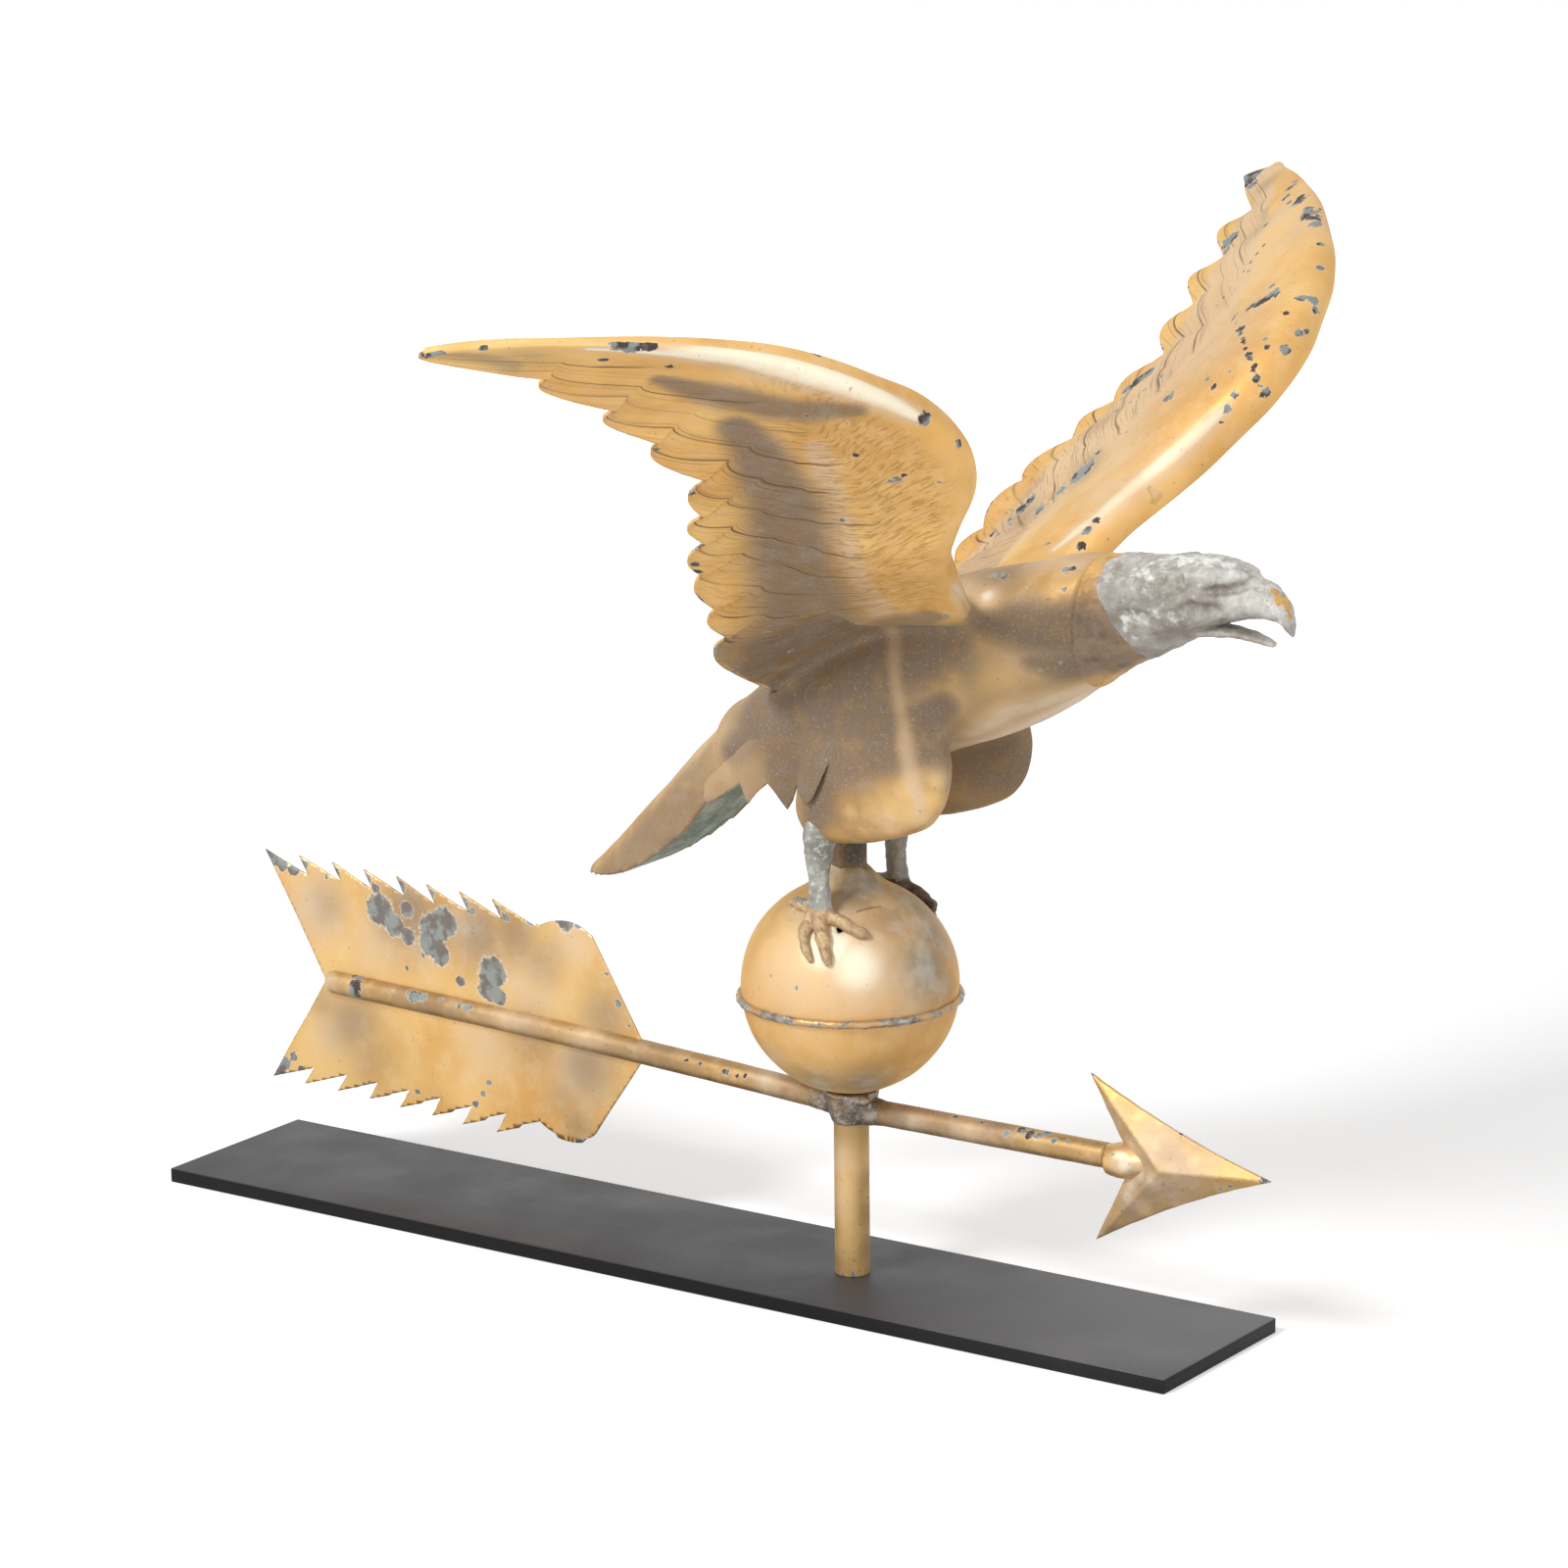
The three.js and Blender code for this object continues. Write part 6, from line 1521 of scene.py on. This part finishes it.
def make_head():
    skull = [(-0.03, 1, 0.515, 0.68), (0, 1, 0.535, 0.685), (0.13, 1.005, 0.6, 0.6),
        (0.27, 1.01, 0.655, 0.525), (0.41, 1.025, 0.715, 0.475), (0.53, 1.03, 0.76, 0.425),
        (0.62, 1.03, 0.8, 0.37), (0.71, 1.005, 0.822, 0.285), (0.81, 0.98, 0.838, 0.22),
        (0.89, 0.95, 0.838, 0.165), (0.945, 0.915, 0.826, 0.12), (0.98, 0.88, 0.797, 0.08),
        (1, 0.835, 0.78, 0.035)]
    jaw = [(0.42, 0.785, 0.74, 0.25), (0.53, 0.787, 0.753, 0.24), (0.62, 0.79, 0.76, 0.195),
        (0.71, 0.785, 0.762, 0.15), (0.8, 0.776, 0.752, 0.105), (0.87, 0.762, 0.744, 0.06),
        (0.905, 0.75, 0.739, 0.03)]
    parts = [ring_mesh("skull", head_loops(skull, np.linspace(-0.028, 0.998, 120))),
             ring_mesh("jaw", head_loops(jaw, np.linspace(0.42, 0.9, 50)))]
    head = melt_together(parts, 0.85 * MM, 5)
    # Brow, eye, cheek, beak and jaw: a path, a width and how far it rises or is pressed in.
    creases = [([(241, 500), (243, 488), (247, 480)], 3.2, 0.7),
        ([(247, 492), (251, 483), (258, 478)], 2.4, -0.9),
        ([(250, 489), (262, 488), (275, 488), (290, 489), (299, 489)], 4.2, 1.5),
        ([(268, 478.5), (276, 479.5), (285, 482), (293, 486)], 3.0, -1.9),
        ([(257, 478), (266, 475), (277, 473)], 2.6, 0.8),
        ([(259, 471), (266, 469.5), (272, 469)], 3.6, -1.2),
        ([(236, 466.5), (246, 469), (255, 473.5), (262, 474)], 2.4, 0.9),
        ([(224, 480), (234, 478.5), (243, 478)], 3.0, 0.8),
        ([(206, 465), (216, 467.5), (226, 467), (236, 465)], 1.6, 0.8),
        ([(212, 462.5), (222, 464), (231, 463)], 1.8, -0.8),
        ([(219, 461), (226, 455), (229, 448), (233, 442)], 5, 0.6),
        ([(239, 465), (250, 464), (262, 462)], 3.4, 0.6),
        ([(238, 446), (246, 450), (254, 455)], 2.2, -0.4),
        ([(262, 455), (275, 457), (292, 456)], 1.6, 0.4)]
    for _ in range(2):
        places = corners(head)
        push = sum(fold(places, *crease) for crease in creases)
        push += 0.45 * MM * ease(seam_away(places), -1, 1.6) * ease(places[:, 0] / MM, 192, 200)
        push_out(head, push)
    hammer(head, 8 * MM, 0.7 * MM)
    hammer(head, 3.2 * MM, 0.35 * MM, 4.0)
    places = corners(head)
    places[:, 0] = head_start * MM + (places[:, 0] - head_start * MM) * 0.992
    set_corners(head, places)
    chalk = [(220, -30, 459, 7, 0.5), (227, -29, 460, 7, 0.48), (218, -30, 454, 5, 0.48),
        (222, -27, 448, 5, 0.46), (224, -24, 444, 4, 0.42), (238, -26, 466, 8, 0.55),
        (246, -25, 463, 7, 0.45), (236, -10, 492, 12, 0.5), (249, -9, 493, 12, 0.55),
        (262, -8, 494, 10, 0.55), (273, -5, 492, 8, 0.5), (227, -12, 490, 8, 0.35), (222, -20, 485, 7, 0.5),
        (229, -23, 482, 6, 0.55), (228, -27, 475, 6, 0.4), (256, -20, 487, 6, 0.3), (298, -6, 477, 10, 0.3),
        (226, 30, 470, 14, 0.4), (250, 24, 480, 14, 0.35), (280, 14, 474, 12, 0.3)]
    dark = [(271, -18, 479, 4.5, 1), (276, -16, 480, 4.5, 1), (281, -14, 481, 4, 1),
        (286, -11, 483, 3.5, 0.9), (240, -23, 482, 4, 0.9), (246, -23, 480, 4, 0.9), (251, -23, 479, 4, 0.8),
        (260, -21, 471, 5, 0.95), (266, -20, 470, 5, 0.95), (271, -18, 469, 4, 0.8), (254, -22, 473, 5, 0.75),
        (250, -24, 470, 6, 0.7), (248, -25, 467, 5, 0.6), (205, -19, 486, 8, 0.5), (212, -21, 484, 6, 0.45),
        (213, -27, 477, 7, 0.4), (205, -28, 474, 6, 0.35), (239, -19, 449, 15, 0.75),
        (250, -16, 452, 13, 0.75), (261, -13, 457, 10, 0.75), (228, -10, 438, 16, 0.85),
        (220, -26, 470, 16, 0.25), (238, -26, 473, 14, 0.35), (274, -4, 454, 9, 0.75), (283, -4, 453, 9, 0.8),
        (291, -4, 452, 9, 0.75), (273, -9, 461, 6, 0.95), (212, -32, 459, 4.5, 0.7), (281, 14, 481, 6, 0.9),
        (250, 20, 455, 16, 0.5), (266, 20, 470, 6, 0.7), (246, 23, 480, 5, 0.8)]
    spots = [(302, -3, 479, 3.6, 0.75), (306, -4, 475, 4.4, 0.8), (309, -2, 471, 4.2, 0.8),
        (311, -2, 466, 3.6, 0.75), (306, 3, 475, 4.2, 0.75), (260, -19, 487, 2.6, 0.6),
        (276, -13, 486.5, 3.2, 0.64), (258, 19, 486, 3, 0.6)]
    behind = ease(-seam_away(places), -1.2, 1.2)
    dull, _ = body_stains(places)
    gilt = soft_marks(places, spots)
    store(head, "chalk", soft_marks(places, chalk))
    store(head, "dark", np.clip(soft_marks(places, dark), 0, 1))
    store(head, "gilt", np.maximum(gilt, behind))
    store(head, "bright", np.clip(np.maximum(ease(gilt, 0.1, 0.4), 1 - dull), 0, 1))
    finish_piece(head, "eagle_head", "vane", ["head_casting"], bare_zinc("head_zinc"))


make_head()


# Legs: rough zinc castings, let into the thighs, with toes that are soldered to the ball and
# gilded with it. Three toes point forward and one back.
def on_ball(forward, side, height, out=0.0):
    away = Vector((forward, side, height)).normalized()
    return Vector((0, 0, 198)) * MM + away * (68.4 + out) * MM


def make_leg(hand, name, node):
    heights = [348, 330, 312, 300, 292, 284, 276, 268, 262, 256, 251]
    middles = [(9, 41), (9, 42), (9, 43), (8, 43.5), (7, 43.5), (6.4, 43), (6.4, 42.4), (7, 42.4),
        (7.5, 42.6), (8, 43), (8.6, 43.4)]
    radii = [9.5, 10.5, 10.8, 10.2, 8.6, 7.4, 6.6, 6.5, 6.8, 7.4, 8.0]
    line = [Vector((x, hand * y, z)) * MM for (x, y), z in zip(middles, heights)]
    column = drawn_tube(line, [r * MM for r in radii], 32)
    toes = [([(0.09, 0.58, 0.82), (0.03, 0.68, 0.74), (0.04, 0.77, 0.64), (0.1, 0.84, 0.53),
        (0.19, 0.875, 0.43)], [4.6, 4.4, 3.6, 3.2, 2.0]),
        ([(0.1, 0.6, 0.8), (0.17, 0.7, 0.7), (0.25, 0.77, 0.59), (0.31, 0.82, 0.49), (0.35, 0.84, 0.41)],
            [5.4, 5.2, 4.2, 3.9, 2.5]),
        ([(0.1, 0.58, 0.81), (0.24, 0.6, 0.77), (0.38, 0.59, 0.71), (0.49, 0.56, 0.66), (0.56, 0.52, 0.64)],
            [5.2, 4.8, 4.0, 3.8, 2.3]),
        ([(0.08, 0.58, 0.81), (-0.06, 0.57, 0.82), (-0.18, 0.53, 0.83), (-0.28, 0.5, 0.82)],
            [5.0, 4.4, 3.8, 2.6])]
    parts = [column]
    for path, sizes in toes:
        dense = np.linspace(0, len(path) - 1, 16)
        route = [[np.interp(t, range(len(path)), [p[k] for p in path]) for k in range(3)] for t in dense]
        size = [float(np.interp(t, range(len(path)), sizes)) * (1 + 0.1 * math.sin(t * 4.4)) for t in dense]
        line = [on_ball(f, hand * s, h, r * 0.55) for (f, s, h), r in zip(route, size)]
        parts.append(drawn_tube(line, [r * MM for r in size], 20))
    web = fresh(bpy.ops.mesh.primitive_uv_sphere_add, segments=32, ring_count=20, radius=1,
                location=on_ball(0.12, hand * 0.6, 0.79, 1.5))
    web.scale = (9 * MM, 8 * MM, 5.5 * MM)
    parts.append(web)
    leg = melt_together(parts, 0.7 * MM, 9)
    hammer(leg, 6 * MM, 0.8 * MM, 3.0 + noise.noise(Vector((hand, 2, 5))))
    hammer(leg, 2.4 * MM, 0.35 * MM, 6.0)
    places = corners(leg)
    z = places[:, 2] / MM
    store(leg, "gilt", 0.62 * ease(-z, -264, -256))
    chalk = [(20, -54, 245, 5, 0.75), (19, -52, 250, 4, 0.8), (0, -46, 262, 5, 0.4), (14, -48, 256, 4, 0.5),
                                            (4, -50, 280, 7, 0.2), (40, 36, 244, 4, 0.4)]
    dark = [(30, -46, 244, 3, 1), (26, 36, 256, 20, 0.95), (8, 42, 285, 24, 0.85), (36, 40, 240, 14, 0.95),
        (-2, -48, 298, 9, 0.5), (14, -36, 285, 8, 0.6), (20, -50, 232, 4, 0.5)]
    store(leg, "chalk", soft_marks(places, chalk))
    store(leg, "dark", np.clip(soft_marks(places, dark), 0, 1))
    leaf = ((0.16, 0.115, 0.085), (0.08, 0.058, 0.043), (0.3, 0.22, 0.15))
    if hand < 0:
        leaf = ((0.55, 0.39, 0.22), (0.38, 0.26, 0.15), (0.75, 0.6, 0.4))
    zinc = bare_zinc(name + "_zinc", ((0.22, 0.225, 0.195), (0.42, 0.42, 0.37)), leaf)
    finish_piece(leg, name, "vane", [node], zinc)


make_leg(-1, "right_cast_leg", "right_leg")
make_leg(1, "left_cast_leg", "left_leg")
